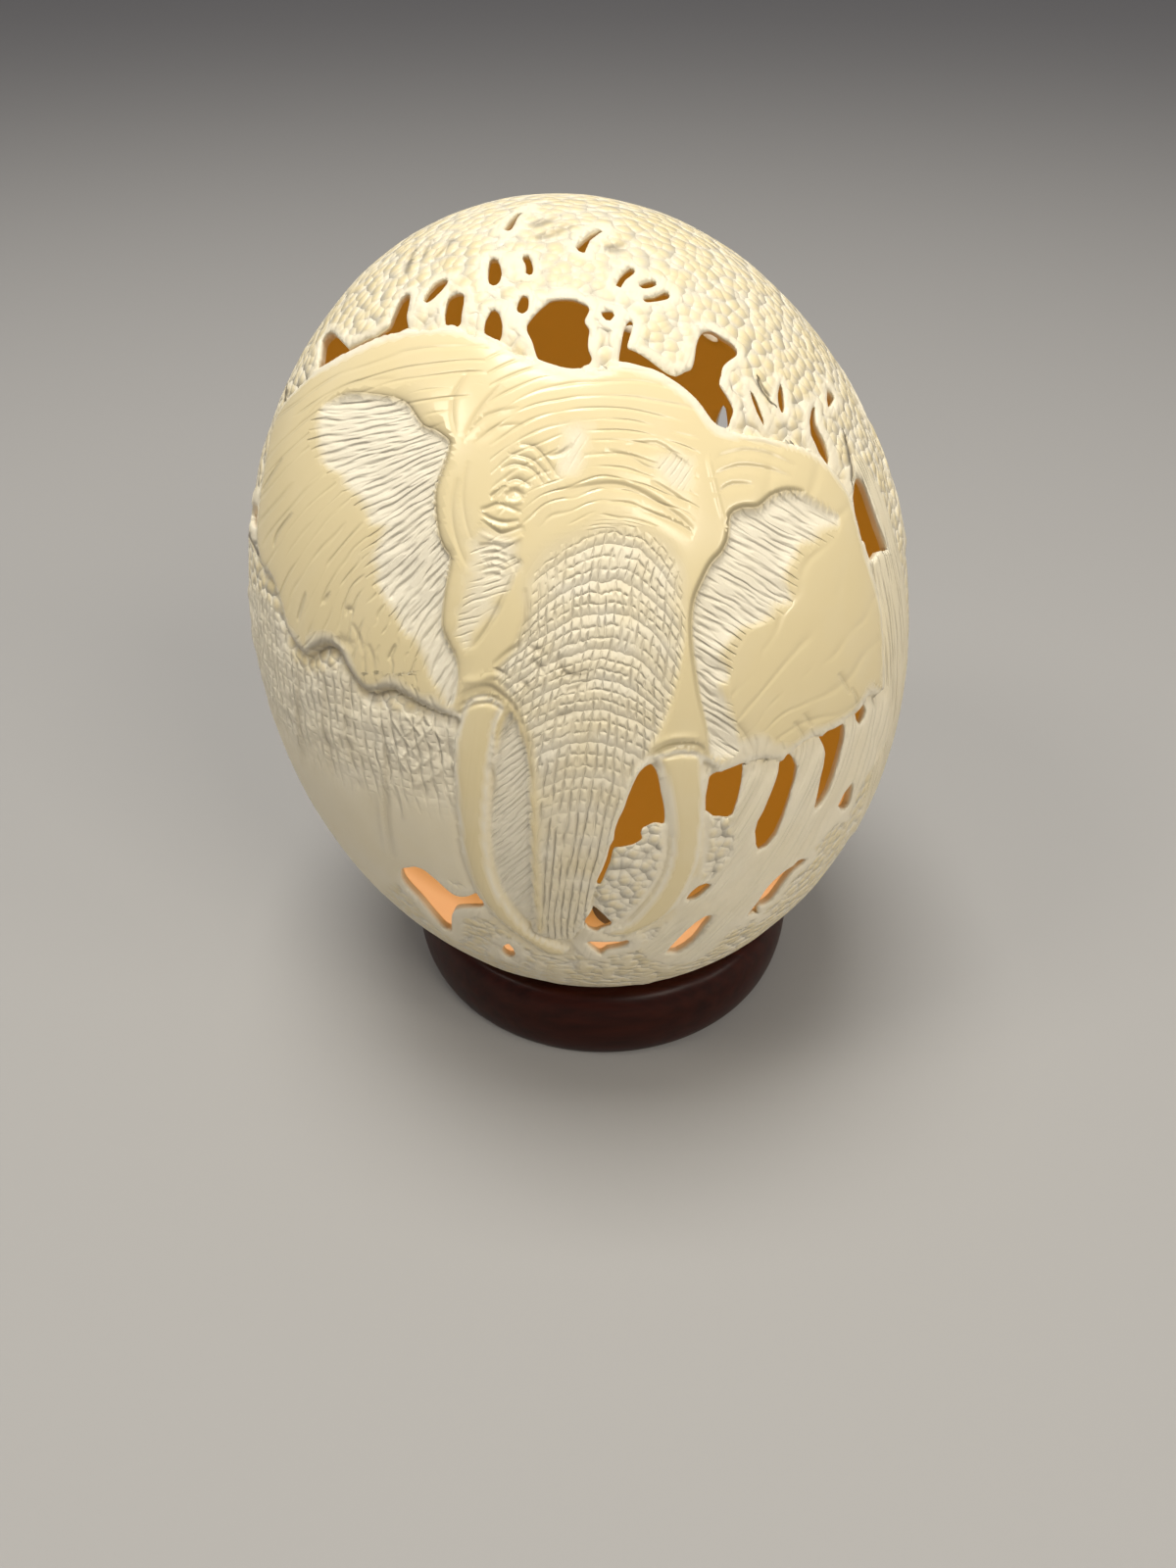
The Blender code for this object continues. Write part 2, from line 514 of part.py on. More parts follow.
def ring_profile():
    """The bead from its shoulder down its outer side to its foot, then the bore, as (radius, height)."""
    points = []
    for i in range(5):
        turn = math.pi / 2 * i / 5
        points.append((RING_SHOULDER_RADIUS + (RING_RADIUS - RING_SHOULDER_RADIUS) * math.sin(turn),
                       RING_WIDEST_HEIGHT + (RING_HEIGHT - RING_WIDEST_HEIGHT) * math.cos(turn)))
    for i in range(5):
        turn = math.pi / 2 * i / 4
        points.append((RING_FOOT_RADIUS + (RING_RADIUS - RING_FOOT_RADIUS) * math.cos(turn),
                       RING_WIDEST_HEIGHT * (1 - math.sin(turn))))
    return points + [(RING_BORE_RADIUS, 0.0), (RING_BORE_RADIUS, RING_HEIGHT)]


def turn_ring(collection, tools):
    """The wooden ring, turned round its own axis, with a seat that follows the egg."""
    bm = bmesh.new()
    loop = [bm.verts.new((radius, 0, height)) for radius, height in ring_profile()]
    for i, vertex in enumerate(loop):
        bm.edges.new((vertex, loop[(i + 1) % len(loop)]))
    mesh = bpy.data.meshes.new("wooden_ring")
    bm.to_mesh(mesh)
    bm.free()
    ring = add_object("wooden_ring", mesh, collection)
    screw = ring.modifiers.new("turning", "SCREW")
    screw.steps = RING_STEPS
    screw.render_steps = RING_STEPS
    screw.use_merge_vertices = True
    screw.merge_threshold = 0.00001
    ring.location = (RING_OFFSET, 0, 0)
    seat = ring.modifiers.new("seat", "BOOLEAN")
    seat.object = egg_solid("seat_tool", GROUND_DEPTH - SEAT_GAP, OUTSIDE_STEPS, tools)
    seat.object.matrix_world = egg_pose()
    seat.operation = "DIFFERENCE"
    seat.solver = "EXACT"
    ring.data.materials.append(material("dark_wood", (0.055, 0.018, 0.012), 0.38))
    return ring


def main():
    """Model the egg and its ring."""
    for old in list(bpy.data.objects):
        bpy.data.objects.remove(old)
    parts = bpy.data.collections.new("carved_ostrich_egg")
    tools = bpy.data.collections.new("cutters")
    for collection in (parts, tools):
        bpy.context.scene.collection.children.link(collection)
    carve_egg(parts, tools)
    turn_ring(parts, tools)
    for tool in tools.objects:
        tool.hide_render = True
        tool.display_type = "WIRE"


main()
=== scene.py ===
"""The looks of a carved and pierced ostrich egg that rests in a turned wooden ring.

The carving is worked out in millimetres in the egg's own frame, whose long axis is +Z, and every piece
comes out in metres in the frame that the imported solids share. The carved elephant faces -Y.
"""

from __future__ import annotations

import logging
import math
from collections.abc import Callable
from dataclasses import dataclass, field
from enum import Enum
from functools import partial

import bpy
import numpy as np
from mathutils import Euler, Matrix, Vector
from mathutils.geometry import delaunay_2d_cdt

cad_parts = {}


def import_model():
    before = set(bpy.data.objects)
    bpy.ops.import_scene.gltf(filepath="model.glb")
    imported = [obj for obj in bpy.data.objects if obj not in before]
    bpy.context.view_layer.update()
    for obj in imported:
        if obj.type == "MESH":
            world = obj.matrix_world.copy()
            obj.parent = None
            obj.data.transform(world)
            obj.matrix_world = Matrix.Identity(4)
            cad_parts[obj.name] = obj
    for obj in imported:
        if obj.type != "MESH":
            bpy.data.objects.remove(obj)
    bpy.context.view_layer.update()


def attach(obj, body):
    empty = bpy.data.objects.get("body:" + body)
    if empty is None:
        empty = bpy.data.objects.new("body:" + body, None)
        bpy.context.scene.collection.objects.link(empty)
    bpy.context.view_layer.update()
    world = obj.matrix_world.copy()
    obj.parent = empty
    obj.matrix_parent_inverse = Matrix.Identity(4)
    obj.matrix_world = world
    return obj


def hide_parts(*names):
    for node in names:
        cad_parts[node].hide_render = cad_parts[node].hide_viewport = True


LOG = logging.getLogger("carved_egg")
MM = 0.001
TRUNK_GRAIN = 21.0
Flat = tuple[float, float]

# Outlines and lines of the front, in millimetres of the drawing

TRUNK_EDGE = (
    (12.5, -26.2), (11.0, -27.8), (9.4, -31.0), (7.8, -35.4), (6.0, -39.8), (4.4, -45.4), (2.3, -50.4),
    (1.6, -54.0), (0.4, -57.2), (-0.4, -59.6), (-1.6, -61.6), (-3.6, -63.2),
)
HEAD = (
    (-55.6, -4.4), (-57.4, -2.8), (-59.4, 0.6), (-60.4, 5.4), (-62.0, 10.4), (-64.0, 13.6), (-64.6, 19.0),
    (-63.8, 26.0), (-62.4, 33.0), (-60.6, 40.0), (-57.8, 44.8), (-54.6, 48.0), (-52.4, 49.8),
    (-50.0, 51.2), (-45.4, 53.6), (-40.0, 56.0), (-36.0, 57.2), (-33.0, 58.0), (-30.0, 58.3),
    (-26.0, 58.4), (-22.0, 57.6), (-19.4, 56.6), (-16.0, 55.2), (-12.6, 53.6), (-9.0, 52.0), (-6.0, 51.0),
    (-2.0, 50.2), (2.0, 50.6), (6.8, 51.6), (11.6, 50.6), (14.2, 49.8), (18.0, 47.6), (21.6, 44.6),
    (24.4, 41.0), (26.0, 39.6), (28.4, 38.9), (32.0, 38.6), (40.0, 37.0), (44.6, 35.2), (48.2, 32.2),
    (51.6, 27.8), (53.2, 23.8), (55.8, 15.0), (58.2, 8.6), (59.4, 2.0), (59.9, -5.0), (60.0, -11.6),
    (57.0, -12.8), (54.2, -16.2), (50.0, -19.2), (44.2, -22.2), (39.6, -25.4), (34.0, -25.8),
    (28.0, -27.6), (24.6, -26.4), (21.0, -25.2), (16.0, -25.6), *TRUNK_EDGE,
    (-9.4, -62.4), (-12.0, -59.0), (-17.0, -40.0), (-20.0, -22.0),
    (-25.6, -17.6), (-27.6, -16.4), (-29.0, -16.2), (-33.0, -14.4), (-36.6, -12.4), (-38.4, -11.4),
    (-41.0, -11.6), (-42.4, -12.0), (-44.6, -11.2), (-46.4, -9.0), (-48.0, -6.2), (-49.2, -3.6),
    (-51.6, -2.4), (-54.4, -3.6),
)

TRUNK = (
    (-11.0, 12.0), (-6.0, 17.4), (1.0, 20.8), (7.0, 22.0), (12.0, 21.0), (17.0, 17.4), (20.2, 11.0),
    (20.6, 0.0), (19.0, -10.0), (16.5, -18.0), *TRUNK_EDGE,
    (-7.0, -63.6), (-9.4, -62.0), (-9.8, -58.0), (-10.2, -52.0), (-10.4, -46.0),
    (-10.4, -40.0), (-10.5, -35.0), (-10.7, -30.0), (-11.0, -26.0), (-11.6, -22.6), (-12.4, -19.4),
    (-13.6, -16.6), (-15.0, -14.2), (-17.0, -11.0), (-18.4, -7.6), (-15.0, -3.0), (-12.6, 3.0),
    (-12.0, 7.0),
)

LEFT_TUSK = (
    (-25.6, -17.6), (-26.8, -22.0), (-26.9, -26.0), (-26.8, -30.0), (-26.6, -34.0), (-26.2, -38.0),
    (-25.8, -42.0), (-25.2, -46.0), (-24.0, -50.0), (-22.4, -53.5), (-20.8, -55.8), (-19.4, -57.6),
    (-17.0, -60.0), (-14.4, -62.0), (-12.4, -63.4), (-10.4, -64.8), (-7.6, -66.2), (-4.6, -66.4),
    (-3.2, -65.2), (-5.0, -64.6), (-7.6, -63.5), (-10.6, -61.8), (-13.2, -59.4), (-15.6, -56.4),
    (-17.4, -53.6), (-18.8, -50.4), (-19.6, -46.0), (-20.0, -41.0), (-19.8, -36.0), (-19.4, -31.0),
    (-18.8, -26.0), (-18.2, -22.0), (-17.4, -18.0), (-16.0, -14.8), (-18.4, -12.6), (-21.0, -12.0),
    (-24.0, -13.4),
)
RIGHT_TUSK = (
    (24.2, -25.0), (24.6, -30.0), (24.6, -36.0), (24.2, -41.0), (23.6, -46.0), (22.2, -50.0),
    (20.2, -54.0), (17.4, -57.6), (14.4, -59.8), (11.2, -61.4), (8.8, -62.3), (5.4, -62.4), (4.2, -61.4),
    (7.0, -60.4), (9.2, -59.2), (11.4, -57.0), (13.4, -54.6), (15.2, -51.8), (16.6, -48.6), (17.4, -45.0),
    (17.6, -41.0), (17.2, -37.0), (16.6, -33.0), (15.8, -30.0), (14.8, -27.2), (14.0, -25.0),
    (16.4, -23.6), (20.0, -23.2), (22.6, -23.6),
)
TUSK_RECESS = (
    (-15.0, -15.4), (-13.0, -19.0), (-11.8, -23.4), (-11.2, -27.0), (-10.8, -33.0), (-10.6, -46.0),
    (-10.2, -56.0), (-9.9, -60.8), (-12.8, -59.6), (-15.4, -56.4), (-17.2, -53.6), (-18.6, -50.4),
    (-19.4, -46.0), (-19.8, -41.0), (-19.6, -36.0), (-19.2, -31.0), (-18.6, -26.0), (-18.0, -22.0),
    (-17.0, -18.0),
)
LEAF_CLUMP = (
    (5.6, -43.4), (8.4, -43.2), (10.8, -42.2), (11.6, -40.6), (11.6, -39.6), (13.0, -38.4), (14.4, -38.0),
    (16.4, -38.6), (17.2, -42.0), (16.6, -47.6), (14.8, -52.0), (12.0, -56.0), (8.6, -59.2), (5.8, -60.2),
    (3.4, -56.6), (2.2, -55.4), (2.4, -51.4), (4.4, -49.2), (5.4, -46.4),
)
LEAF_BANK = (
    (24.8, -36.6), (27.0, -37.6), (29.6, -37.4), (30.6, -41.0), (29.8, -45.0), (27.6, -48.6),
    (25.4, -50.6), (23.8, -49.6), (24.4, -44.0),
)
KNOBS = (
    (26.6, -53.6, 1.7), (24.6, -56.4, 1.5), (20.4, -67.4, 1.7), (16.8, -69.4, 1.8), (8.4, -68.0, 1.7),
    (4.4, -69.8, 1.8), (-0.6, -68.8, 1.7), (-5.4, -70.2, 1.7), (-9.6, -69.0, 1.5), (12.4, -71.4, 1.7),
)

# Each hollow of an ear has one side that it runs out on and one that it is cut in sharply along
LEFT_HOLLOW_SHARP = (
    (-50.6, 43.6), (-49.0, 44.6), (-46.0, 46.0), (-42.0, 46.0), (-38.0, 45.5), (-36.0, 45.0),
    (-34.0, 44.0), (-32.6, 42.0), (-31.0, 39.9), (-29.0, 39.2), (-27.4, 38.2), (-26.0, 36.5),
    (-27.4, 32.0), (-29.0, 27.0), (-28.6, 20.5), (-27.6, 17.0), (-26.2, 14.5), (-27.4, 8.0), (-28.0, 1.5),
    (-26.8, -2.0), (-25.4, -5.0), (-25.0, -9.0), (-25.8, -13.5),
)
LEFT_HOLLOW_SOFT = (
    (-27.6, -14.8), (-31.6, -8.0), (-34.4, -3.0), (-38.0, 3.6), (-41.0, 8.4), (-43.6, 14.0), (-42.0, 20.0),
    (-45.0, 25.6), (-49.0, 30.0), (-52.6, 35.0), (-52.8, 40.0),
)
RIGHT_HOLLOW_SHARP = (
    (50.0, 22.6), (48.0, 24.0), (45.0, 26.0), (43.0, 27.0), (41.5, 27.4), (39.0, 27.4), (36.4, 26.4),
    (34.0, 24.4), (31.0, 24.2), (28.6, 22.8), (28.2, 18.6), (27.0, 15.8), (25.0, 13.6), (23.4, 10.6),
    (21.6, 6.0), (21.2, 0.0), (22.0, -7.0), (23.0, -13.0), (24.4, -19.0), (25.2, -24.6),
)
RIGHT_HOLLOW_SOFT = (
    (28.6, -25.4), (31.4, -23.0), (30.6, -18.0), (28.8, -12.0), (29.8, -5.0), (32.0, 0.0), (36.6, 2.4),
    (40.4, 4.4), (42.0, 9.4), (42.0, 13.6), (46.0, 17.4), (49.6, 19.4),
)

CHEEK_BAND = (
    (-12.4, 13.6), (-14.6, 10.0), (-17.0, 5.0), (-19.6, 0.6), (-22.0, -2.4), (-25.0, -5.4), (-25.4, -9.0),
    (-22.4, -8.4), (-18.6, -6.6), (-14.6, -3.4), (-12.0, -1.6), (-11.4, 3.4), (-11.6, 9.0),
)
EYE_PATCH = (
    (-21.0, 19.0), (-17.0, 19.4), (-14.0, 18.0), (-13.0, 14.0), (-14.5, 10.0), (-17.5, 5.0), (-20.5, 1.0),
    (-23.6, -3.5), (-25.0, 2.0), (-24.2, 8.0), (-22.0, 13.0), (-22.5, 16.0),
)
TEMPLE_PATCH = (
    (-5.6, 30.6), (-3.6, 35.0), (-4.0, 39.4), (-1.6, 41.6), (1.4, 40.4), (1.0, 36.0), (-1.6, 32.0),
)
BROW_PATCH = (
    (15.4, 33.4), (18.0, 34.2), (21.0, 33.0), (21.4, 30.0), (19.0, 28.0), (16.0, 28.8), (15.0, 31.0),
)

# What shows dark through the shell from the eye
FRONT_OPENINGS = {
    "crown_gap": (
        (-7.0, 62.2), (-6.0, 62.7), (-4.0, 62.9), (-2.0, 62.8), (-0.4, 62.2), (0.9, 61.6), (1.0, 60.9),
        (0.4, 59.8), (0.1, 59.0), (0.5, 58.2), (1.1, 57.4), (0.8, 55.8), (0.8, 54.0), (1.2, 53.0),
        (1.5, 52.2), (0.9, 51.7), (0.0, 51.4), (-0.8, 50.8), (-2.4, 50.5), (-4.4, 50.7), (-6.0, 51.3),
        (-7.8, 51.8), (-8.9, 52.6), (-9.5, 54.0), (-10.0, 55.6), (-10.8, 57.0), (-10.9, 58.2),
        (-10.0, 59.4), (-8.6, 60.9),
    ),
    "left_crown_gap": (
        (-51.8, 50.2), (-50.6, 52.2), (-50.1, 55.4), (-48.4, 57.1), (-46.9, 56.0), (-45.4, 54.2),
        (-46.8, 53.0), (-49.8, 51.2),
    ),
    "left_crown_slit": (
        (-45.9, 53.9), (-43.0, 55.3), (-40.2, 56.5), (-40.0, 56.1), (-42.9, 54.8), (-45.6, 53.4),
    ),
    "twig_gap_0": (
        (-40.0, 56.6), (-37.4, 58.0), (-36.6, 59.5), (-34.9, 63.0), (-33.0, 64.1), (-33.9, 60.0),
        (-34.0, 58.2), (-35.3, 57.1), (-37.6, 56.9),
    ),
    "twig_gap_1": ((-26.8, 59.0), (-26.2, 62.2), (-25.2, 63.6), (-22.8, 64.1), (-23.4, 60.4), (-24.2, 58.9)),
    "twig_gap_2": ((-30.5, 63.1), (-29.9, 62.4), (-27.2, 64.6), (-25.6, 66.8), (-28.2, 65.9)),
    "twig_gap_3": ((-17.7, 60.9), (-16.4, 60.8), (-15.6, 58.4), (-16.2, 56.1), (-17.4, 56.3), (-19.4, 57.8)),
    "twig_gap_4": ((-17.8, 70.2), (-16.3, 70.2), (-15.6, 67.6), (-16.5, 65.8), (-17.9, 65.8), (-18.3, 67.4)),
    "twig_gap_5": ((-11.7, 70.6), (-10.5, 71.0), (-9.7, 69.2), (-9.8, 67.7), (-11.1, 67.7), (-11.0, 69.2)),
    "twig_gap_6": ((-11.8, 63.6), (-10.6, 63.4), (-10.7, 61.2), (-12.0, 60.5), (-12.9, 61.4)),
    "twig_gap_7": ((-15.2, 75.6), (-13.7, 75.7), (-12.4, 78.0), (-10.4, 79.5), (-12.9, 78.2)),
    "twig_gap_8": ((-1.6, 72.5), (0.1, 71.5), (1.2, 73.8), (4.2, 75.8), (1.2, 74.9), (-0.6, 73.4)),
    "twig_gap_9": ((6.0, 65.4), (6.9, 65.0), (7.9, 66.6), (9.8, 68.0), (8.9, 68.7), (7.0, 67.4)),
    "twig_gap_10": ((10.3, 65.7), (11.6, 65.0), (13.9, 65.7), (13.2, 66.4)),
    "twig_gap_11": ((11.3, 63.2), (12.0, 62.5), (15.9, 63.1), (16.3, 63.8), (15.4, 64.3), (13.2, 63.4)),
    "twig_gap_12": ((3.3, 60.6), (5.9, 60.6), (5.2, 59.3), (4.2, 59.3)),
    "right_crown_gap": (
        (6.8, 52.0), (7.1, 54.5), (7.5, 56.8), (8.2, 58.6), (8.9, 59.0), (9.4, 58.6), (9.1, 57.2),
        (8.6, 55.6), (8.3, 54.1), (9.4, 53.6), (11.0, 52.8), (13.5, 51.3), (15.8, 49.8), (17.8, 49.0),
        (19.4, 49.7), (20.6, 50.2), (21.2, 51.8), (21.5, 54.4), (22.1, 56.2), (22.8, 57.0), (24.5, 57.0),
        (26.6, 55.7), (28.6, 54.5), (29.5, 53.0), (28.2, 52.0), (26.8, 50.8), (26.4, 49.0), (26.0, 47.3),
        (27.2, 45.4), (28.4, 43.4), (28.8, 42.2), (28.4, 41.0), (28.3, 40.0), (27.2, 39.6), (26.0, 40.0),
        (24.4, 41.2), (23.0, 43.2), (21.6, 44.8), (20.0, 46.3), (18.0, 47.8), (16.0, 49.2), (14.2, 50.0),
        (11.6, 50.8), (9.0, 51.5),
    ),
    "ear_twig_gap_1": ((31.9, 46.4), (32.8, 45.0), (33.8, 42.8), (35.1, 39.7), (33.4, 42.2)),
    "ear_twig_gap_2": ((37.9, 47.6), (37.4, 45.6), (37.6, 43.6), (38.3, 42.0), (38.7, 43.2)),
    "ear_twig_gap_3": ((44.5, 43.5), (43.9, 42.2), (44.0, 38.0), (48.3, 32.7), (46.6, 36.4), (44.8, 39.8)),
    "ear_twig_gap_4": ((46.9, 46.4), (47.2, 43.0), (48.3, 44.8)),
    "right_ear_gap": (
        (52.9, 29.9), (53.0, 26.4), (54.6, 20.0), (56.3, 13.8), (57.8, 15.8), (59.3, 16.0), (57.4, 20.8),
        (56.0, 24.4), (54.2, 28.8),
    ),
    "trunk_gap": (
        (12.9, -26.4), (13.6, -26.6), (14.4, -27.6), (15.0, -29.6), (15.4, -32.0), (16.0, -34.6),
        (16.2, -37.0), (16.0, -38.8), (15.4, -38.4), (14.0, -38.2), (12.6, -38.8), (11.4, -39.6),
        (11.4, -40.6), (11.6, -41.6), (10.6, -42.2), (9.4, -42.8), (7.4, -43.1), (6.0, -43.2),
        (5.6, -44.4), (5.2, -46.4), (4.4, -48.4), (3.6, -50.2), (2.9, -51.0), (2.3, -50.4), (3.4, -48.0),
        (4.4, -45.4), (5.0, -43.0), (5.8, -41.6), (6.0, -39.8), (6.8, -37.4), (7.8, -35.4), (8.6, -33.0),
        (9.4, -31.0), (10.2, -29.2), (11.0, -27.8), (12.0, -26.8),
    ),
    "grass_gap_1": (
        (25.0, -29.9), (26.0, -28.5), (30.5, -26.5), (32.2, -26.0), (31.6, -29.2), (29.8, -36.2),
        (27.8, -36.9), (24.5, -35.9),
    ),
    "grass_gap_2": (
        (40.0, -25.4), (41.2, -24.1), (42.5, -26.6), (41.4, -32.8), (38.6, -40.6), (35.3, -43.9),
        (34.5, -40.0), (36.4, -35.6), (38.3, -29.9),
    ),
    "grass_gap_3": (
        (47.8, -20.4), (50.0, -19.1), (52.1, -18.3), (50.8, -25.6), (48.9, -31.8), (47.0, -34.8),
        (46.3, -35.0), (47.7, -29.6), (48.2, -24.0),
    ),
    "grass_gap_4": ((53.9, -30.0), (51.3, -34.8), (52.6, -35.4), (53.6, -32.8)),
    "grass_gap_5": ((56.2, -14.1), (54.8, -15.8), (55.1, -18.4), (56.0, -15.6)),
    "low_gap_1": (
        (44.9, -45.7), (43.4, -46.0), (42.4, -47.1), (41.0, -48.0), (39.5, -49.2), (38.2, -50.5),
        (36.8, -52.2), (35.6, -54.2), (34.4, -55.8), (33.0, -57.8), (34.4, -56.8), (35.4, -57.2),
        (35.2, -55.6), (36.4, -55.2), (37.8, -54.2), (39.0, -52.6), (40.2, -50.8), (41.4, -49.2),
        (42.6, -47.9), (44.0, -46.8),
    ),
    "low_gap_2": (
        (26.2, -57.4), (22.4, -59.0), (19.2, -62.0), (16.6, -65.2), (18.8, -65.2), (22.2, -62.8),
        (24.2, -60.0),
    ),
    "low_gap_3": ((25.8, -51.0), (23.2, -51.4), (20.6, -54.2), (22.4, -53.8), (24.6, -52.0)),
    "trunk_tip_gap": (
        (1.5, -56.6), (0.6, -57.4), (0.0, -58.2), (-0.2, -59.4), (0.6, -60.2), (2.2, -60.6), (3.2, -60.2),
        (5.0, -59.6), (5.5, -59.2), (4.6, -58.2), (3.4, -56.9), (2.0, -56.4),
    ),
    "tusk_tip_gap": (
        (0.2, -63.1), (1.6, -62.9), (4.0, -63.0), (6.0, -62.9), (7.4, -62.9), (8.8, -62.6), (9.0, -63.1),
        (7.8, -63.8), (6.0, -64.3), (4.4, -64.6), (3.2, -65.4), (2.0, -64.8), (0.8, -63.8),
    ),
    "flank_gap": (
        (-37.6, -47.8), (-36.2, -47.4), (-34.7, -47.2), (-33.0, -47.8), (-31.4, -49.0), (-30.0, -50.2),
        (-28.6, -51.6), (-27.0, -52.9), (-25.6, -53.4), (-24.0, -53.3), (-22.4, -52.9), (-21.4, -54.2),
        (-20.8, -55.6), (-22.6, -55.6), (-24.6, -55.7), (-26.4, -56.0), (-27.3, -57.2), (-27.4, -59.2),
        (-27.5, -60.5), (-29.0, -59.8), (-30.4, -58.2), (-32.0, -56.2), (-34.0, -53.6), (-36.0, -51.4),
        (-37.4, -49.4),
    ),
    "low_gap_4": ((-15.8, -63.2), (-17.3, -64.6), (-15.8, -66.0), (-14.3, -65.6)),
    "left_ear_gap": ((-65.1, 24.8), (-64.3, 24.8), (-64.7, 20.6), (-65.2, 21.8)),
}

CHEST = (
    (-68.0, 9.0), (-62.0, 6.0), (-58.0, -5.0), (-54.0, -7.0), (-49.0, -6.0), (-45.0, -12.0),
    (-41.0, -14.0), (-36.0, -15.0), (-30.0, -16.0), (-24.0, -17.0), (-24.0, -30.0), (-23.4, -42.0),
    (-22.0, -52.0), (-30.0, -50.4), (-36.0, -48.6), (-42.0, -55.0), (-50.0, -52.0), (-60.0, -36.0),
    (-68.0, -14.0),
)

# The far side, in degrees round the egg from the middle of its front and millimetres up its axis
FLANK = (
    (-72, 2), (-80, 9), (-92, 13), (-106, 12), (-118, 6), (-127, -5), (-132, -20), (-132, -36),
    (-128, -50), (-112, -52), (-110, -42), (-104, -37), (-92, -36), (-84, -40), (-80, -51), (-66, -50),
    (-58, -44), (-62, -20),
)


@dataclass(frozen=True)
class FarTree:
    """A flat-topped tree on the far side, in degrees round the egg and millimetres up its axis."""

    azimuth: float
    foot: float
    fork: float
    crown: float
    spread: float

    def outline(self) -> list[Flat]:
        """Return its trunk, limbs and crown as one outline."""
        mid, wide, top = self.azimuth, self.spread, self.crown
        right = [
            (mid + 2.4, self.foot), (mid + 1.6, self.fork - 8), (mid + 3, self.fork),
            (mid + wide * 0.5, top - 13), (mid + wide * 0.95, top - 7), (mid + wide, top - 1),
            (mid + wide * 0.7, top + 7), (mid + wide * 0.25, top + 11),
        ]
        return right + [(2 * mid - azimuth, height) for azimuth, height in right[::-1]]


FAR_TREES = (FarTree(152, -50, -12, 26, 30), FarTree(216, -52, -16, 14, 24), FarTree(96, -46, -8, 24, 20))
GRASS_GAPS = (72, 112, 128, 172, 186, 198)


class Attribute(Enum):
    """What the mesh tells the eggshell's finish at each point."""

    POLISH = "polish"
    FOLIAGE = "foliage"
    GRAIN = "grain"
    GRAIN_DEPTH = "grain_depth"
    BRICK = "brick"
    INSIDE = "inside"
    LINE = "line"
    LINE_FALL = "line_fall"


def smooth_step(value: np.ndarray, low: float, high: float) -> np.ndarray:
    """Return 0 below low and 1 above high, with a smooth rise between."""
    t = np.clip((value - low) / (high - low), 0.0, 1.0)
    return t * t * (3.0 - 2.0 * t)


def smooth_curve(points: np.ndarray, closed: bool, between: int = 3) -> np.ndarray:
    """Draw a Catmull-Rom curve through points.

    Args:
        points: The points, one a row.
        closed: Whether the curve comes back to its start.
        between: The steps from each point to the next.

    Returns:
        The points of the curve.
    """
    points = np.asarray(points, float)
    if closed:
        a, b, c, d = (np.roll(points, -k, axis=0) for k in (-1, 0, 1, 2))
    else:
        index = np.arange(len(points) - 1)
        a, b, c, d = (points[np.clip(index + k, 0, len(points) - 1)] for k in (-1, 0, 1, 2))
    rows = []
    for step in range(between):
        t = step / between
        rows.append((2 * b + (c - a) * t + (2 * a - 5 * b + 4 * c - d) * t ** 2
                     + (3 * b - a - 3 * c + d) * t ** 3) / 2)
    curve = np.stack(rows, axis=1).reshape(-1, points.shape[1])
    return curve if closed else np.vstack([curve, points[-1:]])


def lattice_hash(cells: np.ndarray, seed: int) -> np.ndarray:
    """Return an even random number from 0 to 1 for each whole-numbered cell, the same on every run."""
    x, y, z = (cells[:, k].astype(np.int64) for k in range(3))
    mixed = (x * 73856093) ^ (y * 19349663) ^ (z * 83492791) ^ (seed * 2654435761)
    mixed = (mixed & 0xFFFFFFFF) * 2246822519 & 0xFFFFFFFF
    mixed = (mixed ^ (mixed >> 13)) * 3266489917 & 0xFFFFFFFF
    return ((mixed ^ (mixed >> 16)) & 0xFFFFFF) / float(0x1000000)


def soft_noise(points: np.ndarray, seed: int) -> np.ndarray:
    """Return smooth noise from -1 to 1 whose bumps are about one unit across."""
    base = np.floor(points)
    part = points - base
    part = part * part * (3 - 2 * part)
    total = np.zeros(len(points))
    for corner in np.ndindex(2, 2, 2):
        weight = np.prod(np.where(np.array(corner) == 1, part, 1 - part), axis=1)
        total += weight * lattice_hash(base + corner, seed)
    return total * 2 - 1


